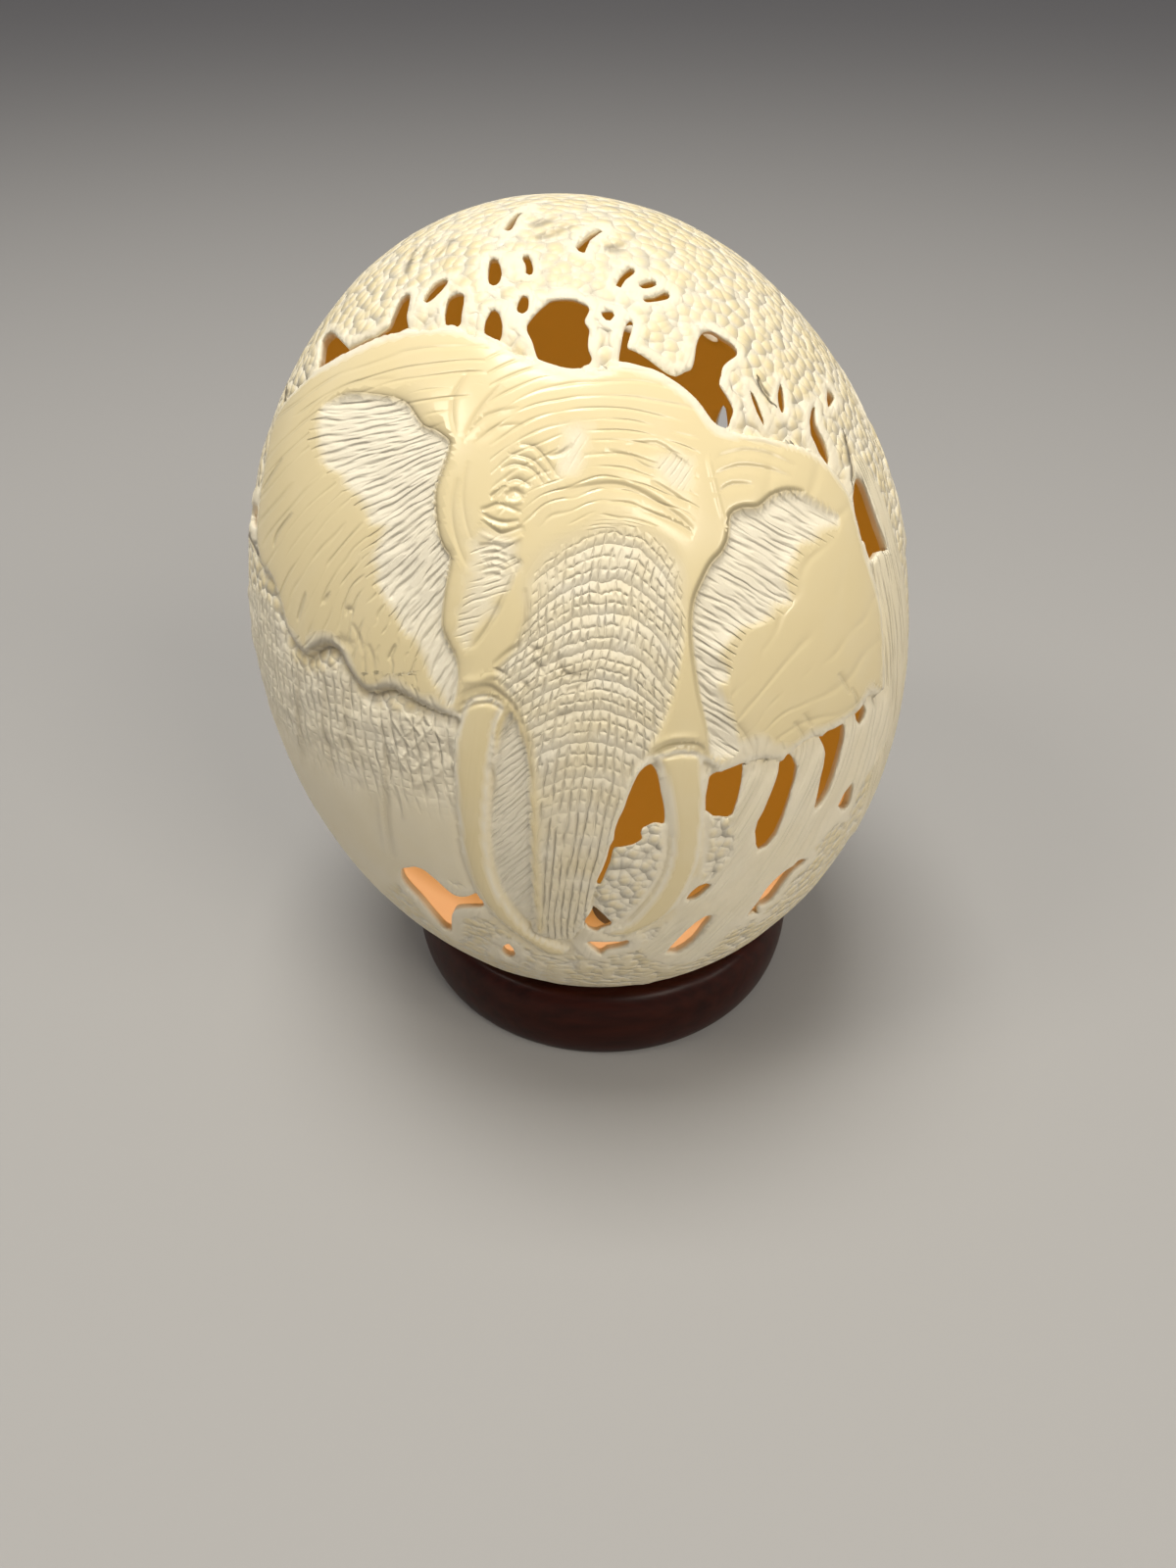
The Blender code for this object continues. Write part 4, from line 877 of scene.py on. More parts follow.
RIGHT_EAR_CUTS = (
    Cut(RIGHT_HOLLOW_SHARP[3:], 0.45, 0.65, 1.6),
    Cut(((30.5, -18.0), (32.4, -20.6), (34.0, -24.0)), 0.5, 0.3, 1.2),
    Cut(((42.0, -17.6), (43.2, -19.4), (44.2, -21.2)), 0.45, 0.26, 1.0),
    Cut(((44.0, -16.2), (44.8, -17.4), (45.8, -18.8)), 0.45, 0.24, 1.0),
    Cut(((50.6, -8.0), (52.0, -10.0), (53.2, -12.2)), 0.45, 0.26, 1.0),
    Cut(((53.4, -11.0), (54.4, -13.0), (55.0, -15.0)), 0.4, 0.22),
    Cut(((26.0, 33.8), (31.0, 35.0), (36.0, 34.2), (41.0, 32.0)), 0.45, 0.2, -1.0),
    Cut(((25.4, 30.4), (30.0, 32.0), (35.0, 31.6), (40.0, 30.0)), 0.45, 0.22, -1.0),
    Cut(((26.4, 27.2), (29.0, 28.6), (33.0, 28.4)), 0.45, 0.2, -1.0),
    Cut(((30.0, 37.0), (34.6, 36.6), (38.6, 35.4)), 0.4, 0.18, -1.0),
)
LOW_CUTS = tuple(
    Cut(((-24 + 1.8 * k, -60 - 1.1 * k), (-20 + 1.5 * k, -63 - 1.3 * k), (-12 + k, -68 - 0.9 * k)),
        0.45, 0.3, 1.0)
    for k in range(4)
)


@dataclass
class Carving:
    """The relief, worked from the background of foliage up to the elephant's head."""

    egg: EggShape
    drawing: Drawing
    ground: float = 0.85
    hollow: float = 0.75
    recess: float = 1.15
    fine_band: float = 0.75
    rings: tuple[float, ...] = (17.4, 10.2, 3.8, -3.3, -9.5, -15.4, -22.0, -29.0, -36.0, -43.0, -50.0, -57.0)

    def carve(self, skin: np.ndarray, gap: np.ndarray) -> Surface:
        """Carve the skin.

        Args:
            skin: Points of the skin, in millimetres in the egg's own frame.
            gap: How far inside an opening each point is, below 0 on the shell.

        Returns:
            How deep the carving is at each point, and its finish there.
        """
        look = Surface.blank(len(skin))
        front = self.drawing.lay_out(skin)
        wrap = Wrap(self.egg).lay_out(skin)
        self.cut_foliage(look, skin)
        self.smooth_branches(look, front, skin, gap)
        self.carve_trees(look, wrap, skin)
        self.carve_bark(look, wrap)
        self.carve_blades(look, front)
        self.carve_body(look, wrap, front, skin)
        self.carve_head(look, front, gap)
        self.carve_ears(look, front)
        self.carve_face(look, front)
        self.carve_trunk(look, front)
        self.carve_tusks(look, front)
        self.carve_knobs(look, front)
        look.depth += 0.25 * smooth_step(gap, -0.6, 0.1)
        look.polish *= 1 - 0.8 * smooth_step(gap, -0.7, -0.1)
        self.seat(look, skin)
        look.depth = np.clip(look.depth, 0.0, self.egg.wall - 0.9)
        return look

    def near_edges(self, skin: np.ndarray) -> np.ndarray:
        """Return which points lie along a sharp edge of the relief."""
        front = self.drawing.lay_out(skin)
        near = np.zeros(len(skin), bool)
        for outline in (HEAD, LEFT_TUSK, RIGHT_TUSK, LEFT_HOLLOW_SHARP, RIGHT_HOLLOW_SHARP):
            closed = outline not in (LEFT_HOLLOW_SHARP, RIGHT_HOLLOW_SHARP)
            edge = Line(smooth_curve(np.array(outline), closed), closed)
            near |= np.abs(edge.field(front)) < self.fine_band
        eye = front.flat - np.array([-14.5, 26.0])
        return near | (front.valid & (np.hypot(eye[:, 0], eye[:, 1] * 0.75) < 9.5))

    def draw_cuts(self, skin: np.ndarray, faces: np.ndarray) -> Strokes:
        """Draw the single cuts of the burr over the triangles."""
        strokes = Strokes.blank(len(faces))
        front = self.drawing.lay_out(skin)
        for cut in (*TOP_CUTS, *BODY_CUTS, *LOW_CUTS, *FOREHEAD_CUTS, *EYE_CUTS, *CHEEK_CUTS, *TUSK_CUTS,
                    *LEFT_EAR_CUTS, *RIGHT_EAR_CUTS):
            cut.draw(front, faces, strokes)
        return strokes

    def cut_foliage(self, look: Surface, skin: np.ndarray) -> None:
        """Cover the whole egg with the pebbled foliage that fills its background."""
        look.depth[:] = self.ground - 0.2 + soft_noise(skin / 6, 11) * 0.16
        look.polish[:] = 0.45 + soft_noise(skin / 8, 12) * 0.2
        look.foliage[:] = 1.0

    def smooth_branches(self, look: Surface, front: Sheet, skin: np.ndarray, gap: np.ndarray) -> None:
        """Leave smooth white branches round the openings."""
        crown = np.where(front.valid, smooth_step(front.flat[:, 1], 34, 40), 0)
        wide = 2.9 - 1.0 * crown + soft_noise(skin / 4, 21) * 0.5
        branch = smooth_step(gap + wide, 0.0, 0.9)
        look.lay(branch, 0.42, 0.12)
        look.comb(branch * 0.9, straight(front.flat, 70, 1.3, 7, 2.0), 0.05)

    def carve_trees(self, look: Surface, wrap: Sheet, skin: np.ndarray) -> None:
        """Raise the far side's trees with bark that runs up them to their crowns."""
        for tree in FAR_TREES:
            outline = np.array(tree.outline(), float)
            line = Line(smooth_curve(Wrap(self.egg).flat(outline[:, 0], outline[:, 1]), True), True)
            weight = smooth_step(line.field(wrap), -0.2, 1.2)
            crown = smooth_step(skin[:, 2], tree.crown - 9, tree.crown)
            look.depth -= weight * crown * 0.45
            look.lay(weight * (1 - crown), 0.05, 0.3)
            look.comb(weight * (1 - crown), straight(wrap.flat, 88, 1.3, 9, 3.0), 0.35)

    def carve_bark(self, look: Surface, wrap: Sheet) -> None:
        """Comb the bark of the tree that stands at the right edge of the front."""
        edge = [(56, -34), (53, -8), (54, 16), (60, 36), (69, 38), (72, 16), (70, -8), (68, -34)]
        outline = np.array(edge, float)
        line = Line(smooth_curve(Wrap(self.egg).flat(outline[:, 0], outline[:, 1]), True), True)
        weight = smooth_step(line.field(wrap), -0.5, 1.5)
        look.lay(weight, 0.35 + 0.12 * flat_noise(wrap.flat, 2.4, 16, 8), 0.35)
        look.comb(weight, straight(wrap.flat, 88, 1.1, 9, 4.0), 0.3)

    def carve_blades(self, look: Surface, front: Sheet) -> None:
        """Carve the broad blades of grass at the lower right, which bend down to the left."""
        outline = (
            (22.0, -27.0), (28.0, -27.6), (34.0, -26.0), (39.6, -25.4), (44.0, -22.4), (50.0, -19.4),
            (54.0, -16.4), (57.0, -13.0), (60.6, -11.0), (61.4, -20.0), (57.0, -30.0), (52.0, -38.0),
            (46.6, -44.4), (40.6, -48.6), (36.0, -53.0), (33.0, -58.0), (29.0, -63.0), (23.0, -67.6),
            (14.0, -68.0), (11.0, -65.0), (15.0, -61.0), (20.0, -56.0), (23.0, -50.0), (24.6, -44.0),
            (25.0, -36.0), (25.0, -30.0),
        )
        weight = smooth_step(inside(front, outline), -0.3, 1.0)
        radius = np.linalg.norm(front.flat - np.array([-30.0, -1.0]), axis=1)
        ridge = 0.5 + 0.5 * np.cos(2 * np.pi * (radius / 4.1 + flat_noise(front.flat, 9, 9, 31) * 0.7))
        look.lay(weight, 0.7 - 0.42 * np.sqrt(ridge), 0.18)
        look.comb(weight, fan(front.flat, (-30.0, -1.0), 1.05, 10, 5.0), 0.17)

    def carve_body(self, look: Surface, wrap: Sheet, front: Sheet, skin: np.ndarray) -> None:
        """Carve the wrinkled skin of the chest and flank."""
        outline = np.array(FLANK, float) + np.array([360.0, 0.0])
        line = Line(smooth_curve(Wrap(self.egg).flat(outline[:, 0], outline[:, 1]), True), True)
        ragged = line.field(wrap) + 1.4 * flat_noise(wrap.flat, 5, 5, 44) - 0.8
        weight = smooth_step(np.maximum(ragged, inside(front, CHEST)), -0.4, 1.6)
        rough = smooth_step(wrap.flat[:, 1] + 44 * smooth_step(-wrap.flat[:, 0], -300, -278), 3, 14)
        folds = 0.13 * flat_noise(wrap.flat, 3.4, 16, 42)
        crumpled = 0.2 * flat_noise(wrap.flat, 2.6, 1.9, 41) + 0.14 * flat_noise(wrap.flat, 1.6, 3.1, 43)
        look.lay(weight, 0.55 + crumpled * rough + folds, 0.12 + 0.2 * (1 - rough))
        scales = np.stack([wrap.flat[:, 0] / 1.9, wrap.flat[:, 1] / 4.4, np.full(len(skin), 31.0)], axis=1)
        look.comb(weight, scales, 0.0)
        look.brick += weight * rough * 0.8

    def carve_head(self, look: Surface, front: Sheet, gap: np.ndarray) -> None:
        """Raise the head and ears to the polished skin, and lower the ground round them."""
        away = inside(front, HEAD, 6.0)
        away = away + smooth_step(gap, -0.9, -0.2) * smooth_step(away, -1.2, -0.2)
        flat = front.flat
        look.depth += 0.75 * np.exp(-(np.minimum(away, 0) / 1.8) ** 2) * (away < 0)
        weight = smooth_step(away, -0.05, 0.6)
        look.lay(weight, 0.12 * (1 - smooth_step(away, 0.5, 2.5)), smooth_step(away, 0.7, 1.5))
        left = weight * smooth_step(-flat[:, 0] + np.maximum(flat[:, 1] - 36, 0), 30, 35)
        look.comb(left, fan(flat, (-22.0, -8.0), 2.4, 9, 7.0), 0.16)
        right = weight * smooth_step(flat[:, 0], 26, 31)
        look.comb(right, rays(flat, (18.0, -34.0), 2.6, 10, 8.0), 0.1)
        brow = weight * (1 - smooth_step(np.abs(flat[:, 0] - 2), 17, 23)) * smooth_step(flat[:, 1], 18, 24)
        look.comb(brow, fan(flat, (5.0, 2.0), 2.3, 12, 9.0), 0.13)
        broad = 2.6 + 3.2 * smooth_step(44 - flat[:, 0], 0, 12) * (flat[:, 0] > 0)
        broad += flat_noise(flat, 3, 3, 71)
        low_left = smooth_step(-flat[:, 1] - 0.35 * (flat[:, 0] + 56), -5, -1)
        low_right = smooth_step(flat[:, 0], 27, 30) * smooth_step(-flat[:, 1], 6, 9)
        low = np.where(flat[:, 0] < 0, low_left, low_right)
        edge = weight * low * (1 - smooth_step(away, broad - 1.8, broad))
        look.polish *= 1 - 0.7 * edge
        folds = np.where((flat[:, 0] < 0)[:, None], rays(flat, (-42.0, 26.0), 1.3, 5, 19.0),
                         rays(flat, (36.0, 14.0), 1.3, 5, 20.0))
        look.comb(edge, folds, 0.22)

    def carve_ears(self, look: Surface, front: Sheet) -> None:
        """Hollow the ears out towards the face, with long strokes that fan out over them."""
        flat = front.flat
        sides = (
            (LEFT_HOLLOW_SHARP, LEFT_HOLLOW_SOFT, rays(flat, (0.0, 48.0), 0.62, 6.0, 10.0), 6.0),
            (RIGHT_HOLLOW_SHARP, RIGHT_HOLLOW_SOFT, straight(flat, -31, 1.45, 6.0, 12.0), 4.0),
        )
        for sharp, soft, grain, run_out in sides:
            weight = smooth_step(inside(front, sharp + soft), -0.1, 0.5)
            rough = soft_noise(grain * np.array([0.8, 0.6, 1.0]), 51)
            wall = np.abs(Line(smooth_curve(np.array(sharp), False)).field(front, 12.0))
            fade = np.abs(Line(smooth_curve(np.array(soft), False)).field(front, 12.0)) + rough * 1.6
            deep = self.hollow * smooth_step(wall, 0.0, 0.7) * smooth_step(fade, 0.0, run_out)
            deep = deep * (0.72 + 0.28 * np.exp(-wall / 4)) + 0.09 * rough
            look.lay(weight, deep, 1 - smooth_step(fade, 0.2, 2.2))
            look.comb(weight, grain, 0.3)

    def carve_face(self, look: Surface, front: Sheet) -> None:
        """Rough out the white patches round the eye and on the brow, and leave the polished cheek."""
        ragged = flat_noise(front.flat, 2.2, 2.2, 81)
        for outline, depth, angle, lines in ((EYE_PATCH, 0.28, 20, 0.2), (TEMPLE_PATCH, 0.22, 60, 0.08),
                                             (BROW_PATCH, 0.18, 50, 0.08)):
            weight = smooth_step(inside(front, outline) + ragged, -1.2, 1.8) * 0.85
            look.lay(weight, depth, 0.1)
            look.comb(weight, straight(front.flat, angle, 1.3, 5, 14.0), lines)
        look.lay(smooth_step(inside(front, CHEEK_BAND), -0.1, 1.0), 0.02, 1.0)

    def carve_trunk(self, look: Surface, front: Sheet) -> None:
        """Carve the trunk, with rings across it and ribs down it that cut its skin into lumps."""
        away = inside(front, TRUNK)
        flat = front.flat
        heights = [-60, -50, -40, -30, -20, -10, 0, 10, 18]
        middle = np.interp(flat[:, 1], heights, [-5.1, -3.9, -2.2, -0.3, 1.0, 2.0, 4.0, 4.5, 6.0])
        half = np.interp(flat[:, 1], heights, [4.5, 6.4, 8.2, 10.4, 13.2, 15.0, 16.0, 15.5, 14.0])
        sag = np.interp(flat[:, 1], heights, [1.5, 2.0, 2.6, 3.5, 4.5, 6.0, 8.0, 8.5, 8.0])
        across = (flat[:, 0] - middle) / half
        sag = sag * (1 + 0.5 * smooth_step(across, 0, 1) * smooth_step(flat[:, 1], -24, -6))
        level = flat[:, 1] + sag * across ** 2
        wander = flat_noise(flat, 4, 3, 61)
        ring = np.interp(-level, -np.array(self.rings), np.arange(len(self.rings)))
        ring += np.clip(level - self.rings[0], 0, 9) * -0.16 - np.clip(self.rings[-1] - level, 0, 9) * -0.25
        apart = np.interp(flat[:, 1], heights, [1.4, 1.6, 1.85, 1.95, 1.85, 1.7, 1.65, 1.7, 1.9])
        rib = (flat[:, 0] - middle) / apart
        lower = smooth_step(-flat[:, 1], 20, 40)
        swell = 0.5 - 0.5 * np.cos(2 * np.pi * ring)
        depth = 0.28 - 0.06 * swell * (1 - 0.6 * lower) + 0.08 * wander
        depth += 0.6 * (1 - smooth_step(away, 0.0, 2.6)) ** 2 * smooth_step(-flat[:, 1], 6, 16)
        high = smooth_step(flat[:, 1], -2, 8)
        weight = smooth_step(away, -0.1 - 1.4 * high, 1.4 + 2.6 * high)
        look.lay(weight, depth, np.clip(0.2 + 0.16 * swell + 0.25 * wander, 0.0, 0.7))
        look.comb(weight, np.stack([rib, ring, TRUNK_GRAIN + lower], axis=1), 0.0)
        look.brick += weight * 0.82

    def carve_knobs(self, look: Surface, front: Sheet) -> None:
        """Raise the round knobs among the roots at the foot."""
        for u, v, size in KNOBS:
            bump = np.exp(-(np.linalg.norm(front.flat - np.array([u, v]), axis=1) / size) ** 2) * front.valid
            look.depth -= 0.5 * bump * np.minimum(look.depth, 1.0)
            look.foliage *= 1 - bump

    def carve_tusks(self, look: Surface, front: Sheet) -> None:
        """Sink the recess behind the left tusk and raise both tusks, polished with a white edge."""
        weight = smooth_step(inside(front, TUSK_RECESS), -0.05, 0.6)
        look.lay(weight, self.recess, 0.0)
        look.comb(weight, straight(front.flat, 40, 1.1, 5, 17.0), 0.22)
        for outline, depth in ((LEAF_CLUMP, 0.7), (LEAF_BANK, 0.75)):
            weight = smooth_step(inside(front, outline) + 0.5 * flat_noise(front.flat, 2, 2, 72), -0.3, 0.5)
            look.lay(weight, depth + 0.12 * flat_noise(front.flat, 2.2, 2.2, 71), 0.1, 1.3)
        for outline in (LEFT_TUSK, RIGHT_TUSK):
            away = inside(front, outline)
            look.depth += 0.4 * np.exp(-(np.minimum(away, 0) / 0.9) ** 2) * (away < 0)
            look.foliage *= 1 - smooth_step(away, -2.2, -1.0)
            weight = smooth_step(away, -0.05, 0.5)
            depth = 0.08 + 0.5 * (1 - smooth_step(away, 0.0, 2.0)) ** 1.5
            look.lay(weight, depth, smooth_step(away, 0.6, 1.3))
            look.comb(weight, straight(front.flat, 86, 2.4, 20, 18.0), 0.02)

    def seat(self, look: Surface, skin: np.ndarray) -> None:
        """Leave the part that lies in the ring plain, a hair lower than the seat."""
        low = 1 - smooth_step(self.egg.placed(skin)[:, 2] / MM, 9.0, 15.0)
        look.depth += (0.8 - look.depth) * low


@dataclass
class ShellMesh:
    """The eggshell as one closed mesh: the carved outside, the cut walls and the smooth inside."""

    egg: EggShape
    drawing: Drawing
    openings: Openings
    carving: Carving
    outside_steps: int = 96
    inside_steps: int = 36
    gather: float = -0.36
    edge_band: float = 0.95
    snap: float = 0.3
    clear: float = 0.8
    wall_rows: tuple[float, ...] = (0.45, 0.9)
    # The share of the inside's painted colour and painted glow that each inner row of the cut walls takes
    wall_shine: tuple[float, ...] = (0.0, 0.2)

    @staticmethod
    def cube_sphere(steps: int) -> tuple[np.ndarray, np.ndarray]:
        """Return directions all round, and the quads between them, from the six faces of a cube."""
        grid = np.tan(np.pi / 4 * np.linspace(-1, 1, steps + 1))
        u, v = np.meshgrid(grid, grid)
        one = np.ones_like(u)
        faces = [(one, u, v), (-one, -u, v), (-u, one, v), (u, -one, v), (-v, u, one), (v, u, -one)]
        points = np.concatenate([np.stack(face, axis=-1).reshape(-1, 3) for face in faces])
        points /= np.linalg.norm(points, axis=1, keepdims=True)
        index = np.arange((steps + 1) ** 2).reshape(steps + 1, steps + 1)
        quad = np.stack([index[:-1, :-1], index[:-1, 1:], index[1:, 1:], index[1:, :-1]], axis=-1)
        quad = quad.reshape(-1, 4)
        quads = np.concatenate([quad + k * (steps + 1) ** 2 for k in range(6)])
        _, first, back = np.unique(np.round(points, 7), axis=0, return_index=True, return_inverse=True)
        return points[first], back.reshape(-1)[quads]

    def gathered(self, directions: np.ndarray) -> np.ndarray:
        """Draw directions together towards the eye, so that the front has the finer mesh."""
        eye = -self.drawing.axes()[3]
        cosine = np.clip(directions @ eye, -1, 1)
        angle = np.arccos(cosine)
        wide = angle + self.gather * np.sin(angle)
        aside = directions - cosine[:, None] * eye
        aside /= np.maximum(np.linalg.norm(aside, axis=1, keepdims=True), 1e-9)
        return np.cos(wide)[:, None] * eye + np.sin(wide)[:, None] * aside

    def outside(self) -> tuple[np.ndarray, np.ndarray, np.ndarray]:
        """Return the outside's places, its triangles and how far inside an opening each place is."""
        directions, quads = self.cube_sphere(self.outside_steps)
        skin = self.egg.onto_skin(self.gathered(directions))
        faces = np.concatenate([quads[:, [0, 1, 2]], quads[:, [0, 2, 3]]])
        gap = self.openings.field(skin)
        count = len(skin)
        marked = (np.abs(gap) < self.edge_band) | self.carving.near_edges(skin)
        skin, faces = self.refined(skin, faces, marked)
        gap = np.concatenate([gap, self.openings.field(skin[count:])])
        skin, gap = self.snapped(skin, gap, faces)
        return self.clipped(skin, gap, faces)

    def refined(self, skin: np.ndarray, faces: np.ndarray, marked: np.ndarray) -> tuple[np.ndarray, ...]:
        """Halve every edge between two marked places, for a finer mesh there."""
        edges = np.sort(faces[:, [0, 1, 1, 2, 2, 0]].reshape(-1, 2), axis=1)
        pairs, back = np.unique(edges, axis=0, return_inverse=True)
        split = marked[pairs].all(axis=1)
        number = np.where(split, len(skin) + np.cumsum(split) - 1, -1)
        middles = number[back.reshape(-1)].reshape(-1, 3)
        skin = np.vstack([skin, self.egg.onto_skin(skin[pairs[split]].mean(axis=1))])
        count = (middles >= 0).sum(axis=1)
        corner, middle = faces[count == 3], middles[count == 3]
        kept = [faces[count == 0], middle]
        kept += [np.stack([corner[:, k], middle[:, k], middle[:, k - 1]], axis=1) for k in range(3)]
        for k in range(3):
            rows = (count == 1) & (middles[:, k] >= 0)
            start, end, apex = (faces[rows, (k + step) % 3] for step in range(3))
            middle = middles[rows, k]
            kept += [np.stack([start, middle, apex], axis=1), np.stack([middle, end, apex], axis=1)]
        return skin, np.concatenate(kept)

    def snapped(self, skin: np.ndarray, gap: np.ndarray, faces: np.ndarray) -> tuple[np.ndarray, np.ndarray]:
        """Move the places nearest to an opening's edge onto it."""
        pairs = np.unique(np.sort(faces[:, [0, 1, 1, 2, 2, 0]].reshape(-1, 2), axis=1), axis=0)
        pairs = np.concatenate([pairs, pairs[:, ::-1]])
        pairs = pairs[gap[pairs[:, 0]] * gap[pairs[:, 1]] < 0]
        part = gap[pairs[:, 0]] / (gap[pairs[:, 0]] - gap[pairs[:, 1]])
        order = np.argsort(-part)
        pairs, part = pairs[order], part[order]
        close = part < self.snap
        moved, level = skin.copy(), gap.copy()
        here, there = pairs[close, 0], pairs[close, 1]
        moved[here] = self.egg.onto_skin(skin[here] + part[close, None] * (skin[there] - skin[here]))
        level[here] = 0.0
        return moved, level

    def clipped(self, skin: np.ndarray, gap: np.ndarray, faces: np.ndarray) -> tuple[np.ndarray, ...]:
        """Cut the triangles off along the edges of the openings."""
        side = np.sign(gap)[faces]
        middle = self.openings.field(self.egg.onto_skin(skin[faces].mean(axis=1)))
        flat = np.all(side == 0, axis=1)
        whole = np.where(flat, middle < 0, np.all(side <= 0, axis=1))
        kept = [faces[whole]]
        mixed = faces[np.any(side > 0, axis=1) & np.any(side < 0, axis=1)]
        crossing: dict[tuple[int, int], int] = {}
        places: list[np.ndarray] = []
        extra: list[tuple[int, int, int]] = []

        def cross(a: int, b: int) -> int:
            """Return the place where the edge between two places crosses an opening's edge."""
            key = (min(a, b), max(a, b))
            if key not in crossing:
                crossing[key] = len(skin) + len(places)
                places.append(skin[a] + (skin[b] - skin[a]) * (gap[a] / (gap[a] - gap[b])))
            return crossing[key]

        for face in mixed.tolist():
            loop: list[int] = []
            for a, b in zip(face, face[1:] + face[:1]):
                if gap[a] <= 0:
                    loop.append(a)
                if gap[a] * gap[b] < 0:
                    loop.append(cross(a, b))
            extra += [(loop[0], loop[k], loop[k + 1]) for k in range(1, len(loop) - 1)]
        skin = np.vstack([skin, self.egg.onto_skin(np.array(places))])
        gap = np.concatenate([gap, np.zeros(len(places))])
        kept.append(np.array(extra, dtype=np.int64))
        faces = np.concatenate(kept)
        used, back = np.unique(faces, return_inverse=True)
        return skin[used], back.reshape(-1, 3), gap[used]

    @staticmethod
    def border(faces: np.ndarray) -> np.ndarray:
        """Return the directed edges that only one triangle has."""
        edges = faces[:, [0, 1, 1, 2, 2, 0]].reshape(-1, 2)
        known = set(map(tuple, edges.tolist()))
        return np.array([edge for edge in map(tuple, edges.tolist()) if edge[::-1] not in known])

    def unrolled(self, skin: np.ndarray) -> np.ndarray:
        """Spread the whole skin on a plane, with the top of the egg in the middle and its bottom far off."""
        ball = skin / self.egg.radii()
        return ball[:, :2] / (1 + ball[:, 2:])

    def inner_sheet(self, rim: np.ndarray, edges: np.ndarray) -> tuple[np.ndarray, np.ndarray]:
        """Fill the inside of the shell between the edges of its openings.

        Args:
            rim: The places of the edges' ends on the skin.
            edges: The edges, as pairs of places, with the shell on their left seen from outside.

        Returns:
            The places of the sheet, the rim's first, and its triangles, which face the egg's middle.
        """
        directions, _ = self.cube_sphere(self.inside_steps)
        fill = self.egg.onto_skin(self.gathered(directions))
        over = self.egg.onto_skin(2 * fill - self.drawing.cut_through(fill))
        fill = fill[self.openings.field(over) < -self.clear]
        places = np.vstack([self.drawing.cut_through(rim), fill])
        plane = self.unrolled(places)
        _, _, faces, origin, _, _ = delaunay_2d_cdt(
            [Vector(point) for point in plane.tolist()], edges.tolist(), [], 0, 1e-9, True)
        back = np.array([entry[0] if entry else -1 for entry in origin])
        faces = back[np.array([face for face in faces if len(face) == 3])]
        faces = faces[(faces >= 0).all(axis=1)]
        faces = faces[(faces != np.roll(faces, 1, axis=1)).all(axis=1)]
        middle = plane[faces].mean(axis=1)
        hit = np.zeros(len(middle), bool)
        for a, b in zip(plane[edges[:, 0]], plane[edges[:, 1]]):
            if a[1] != b[1]:
                span = (a[1] > middle[:, 1]) != (b[1] > middle[:, 1])
                hit ^= span & (middle[:, 0] < (b[0] - a[0]) * (middle[:, 1] - a[1]) / (b[1] - a[1]) + a[0])
        faces = faces[hit]
        p, q, r = (places[faces[:, k]] for k in range(3))
        outward = np.einsum("nk,nk->n", np.cross(q - p, r - p), p + q + r) > 0
        faces[outward] = faces[outward][:, [0, 2, 1]]
        return places, faces

    def build(self) -> bpy.types.Object:
        """Build the eggshell."""
        skin, faces, gap = self.outside()
        look = self.carving.carve(skin, gap)
        edges = self.border(faces)
        ends, edge = np.unique(edges, return_inverse=True)
        edge = edge.reshape(-1, 2)
        sheet, inner = self.inner_sheet(skin[ends], edge)
        LOG.info("eggshell: %d outside, %d edge, %d inside triangles", len(faces), len(edges), len(inner))
        rows = [(skin, look.depth)]
        for share in self.wall_rows:
            place = self.egg.onto_skin(skin[ends] * (1 - share) + sheet[:len(ends)] * share)
            rows.append((place, look.depth[ends] + (self.egg.wall - look.depth[ends]) * share))
        rows.append((sheet, np.full(len(sheet), self.egg.wall)))
        base = len(skin) + 2 * len(ends)
        loops = [ends] + [len(skin) + k * len(ends) + np.arange(len(ends)) for k in range(3)]
        begin, end = edge.T
        walls = np.concatenate([
            np.stack([upper[end], upper[begin], lower[begin], lower[end]], axis=1)
            for upper, lower in zip(loops, loops[1:])
        ])
        walls = np.concatenate([walls[:, [0, 1, 2]], walls[:, [0, 2, 3]]])
        triangles = np.concatenate([faces, walls, inner + base])
        points = np.concatenate([self.egg.placed(self.egg.sink(place, depth)) for place, depth in rows])
        mesh = bpy.data.meshes.new("carved_eggshell")
        mesh.from_pydata(points, [], triangles)
        within = np.concatenate([np.repeat(self.wall_shine, len(ends)), np.ones(len(sheet))])
        self.write(mesh, look, within)
        self.write_corners(mesh, look.corner_grain(faces), self.carving.draw_cuts(skin, faces))
        mesh.shade_smooth()
        LOG.info("eggshell: %d triangles", len(triangles))
        shell = bpy.data.objects.new("eggshell", mesh)
        bpy.context.scene.collection.objects.link(shell)
        return shell

    @staticmethod
    def write(mesh: bpy.types.Mesh, look: Surface, within: np.ndarray) -> None:
        """Write the finish onto the mesh: the outside first, then the walls and the inside."""
        empty = np.zeros(len(within))
        kept = {
            Attribute.POLISH: np.concatenate([look.polish, empty]),
            Attribute.FOLIAGE: np.concatenate([look.foliage, empty]),
            Attribute.GRAIN_DEPTH: np.concatenate([look.grain_depth, empty]),
            Attribute.BRICK: np.concatenate([look.brick, empty]),
            Attribute.INSIDE: np.concatenate([np.zeros(len(look.depth)), within]),
        }
        for name, values in kept.items():
            layer = mesh.attributes.new(name.value, "FLOAT", "POINT")
            layer.data.foreach_set("value", values.astype(np.float32))

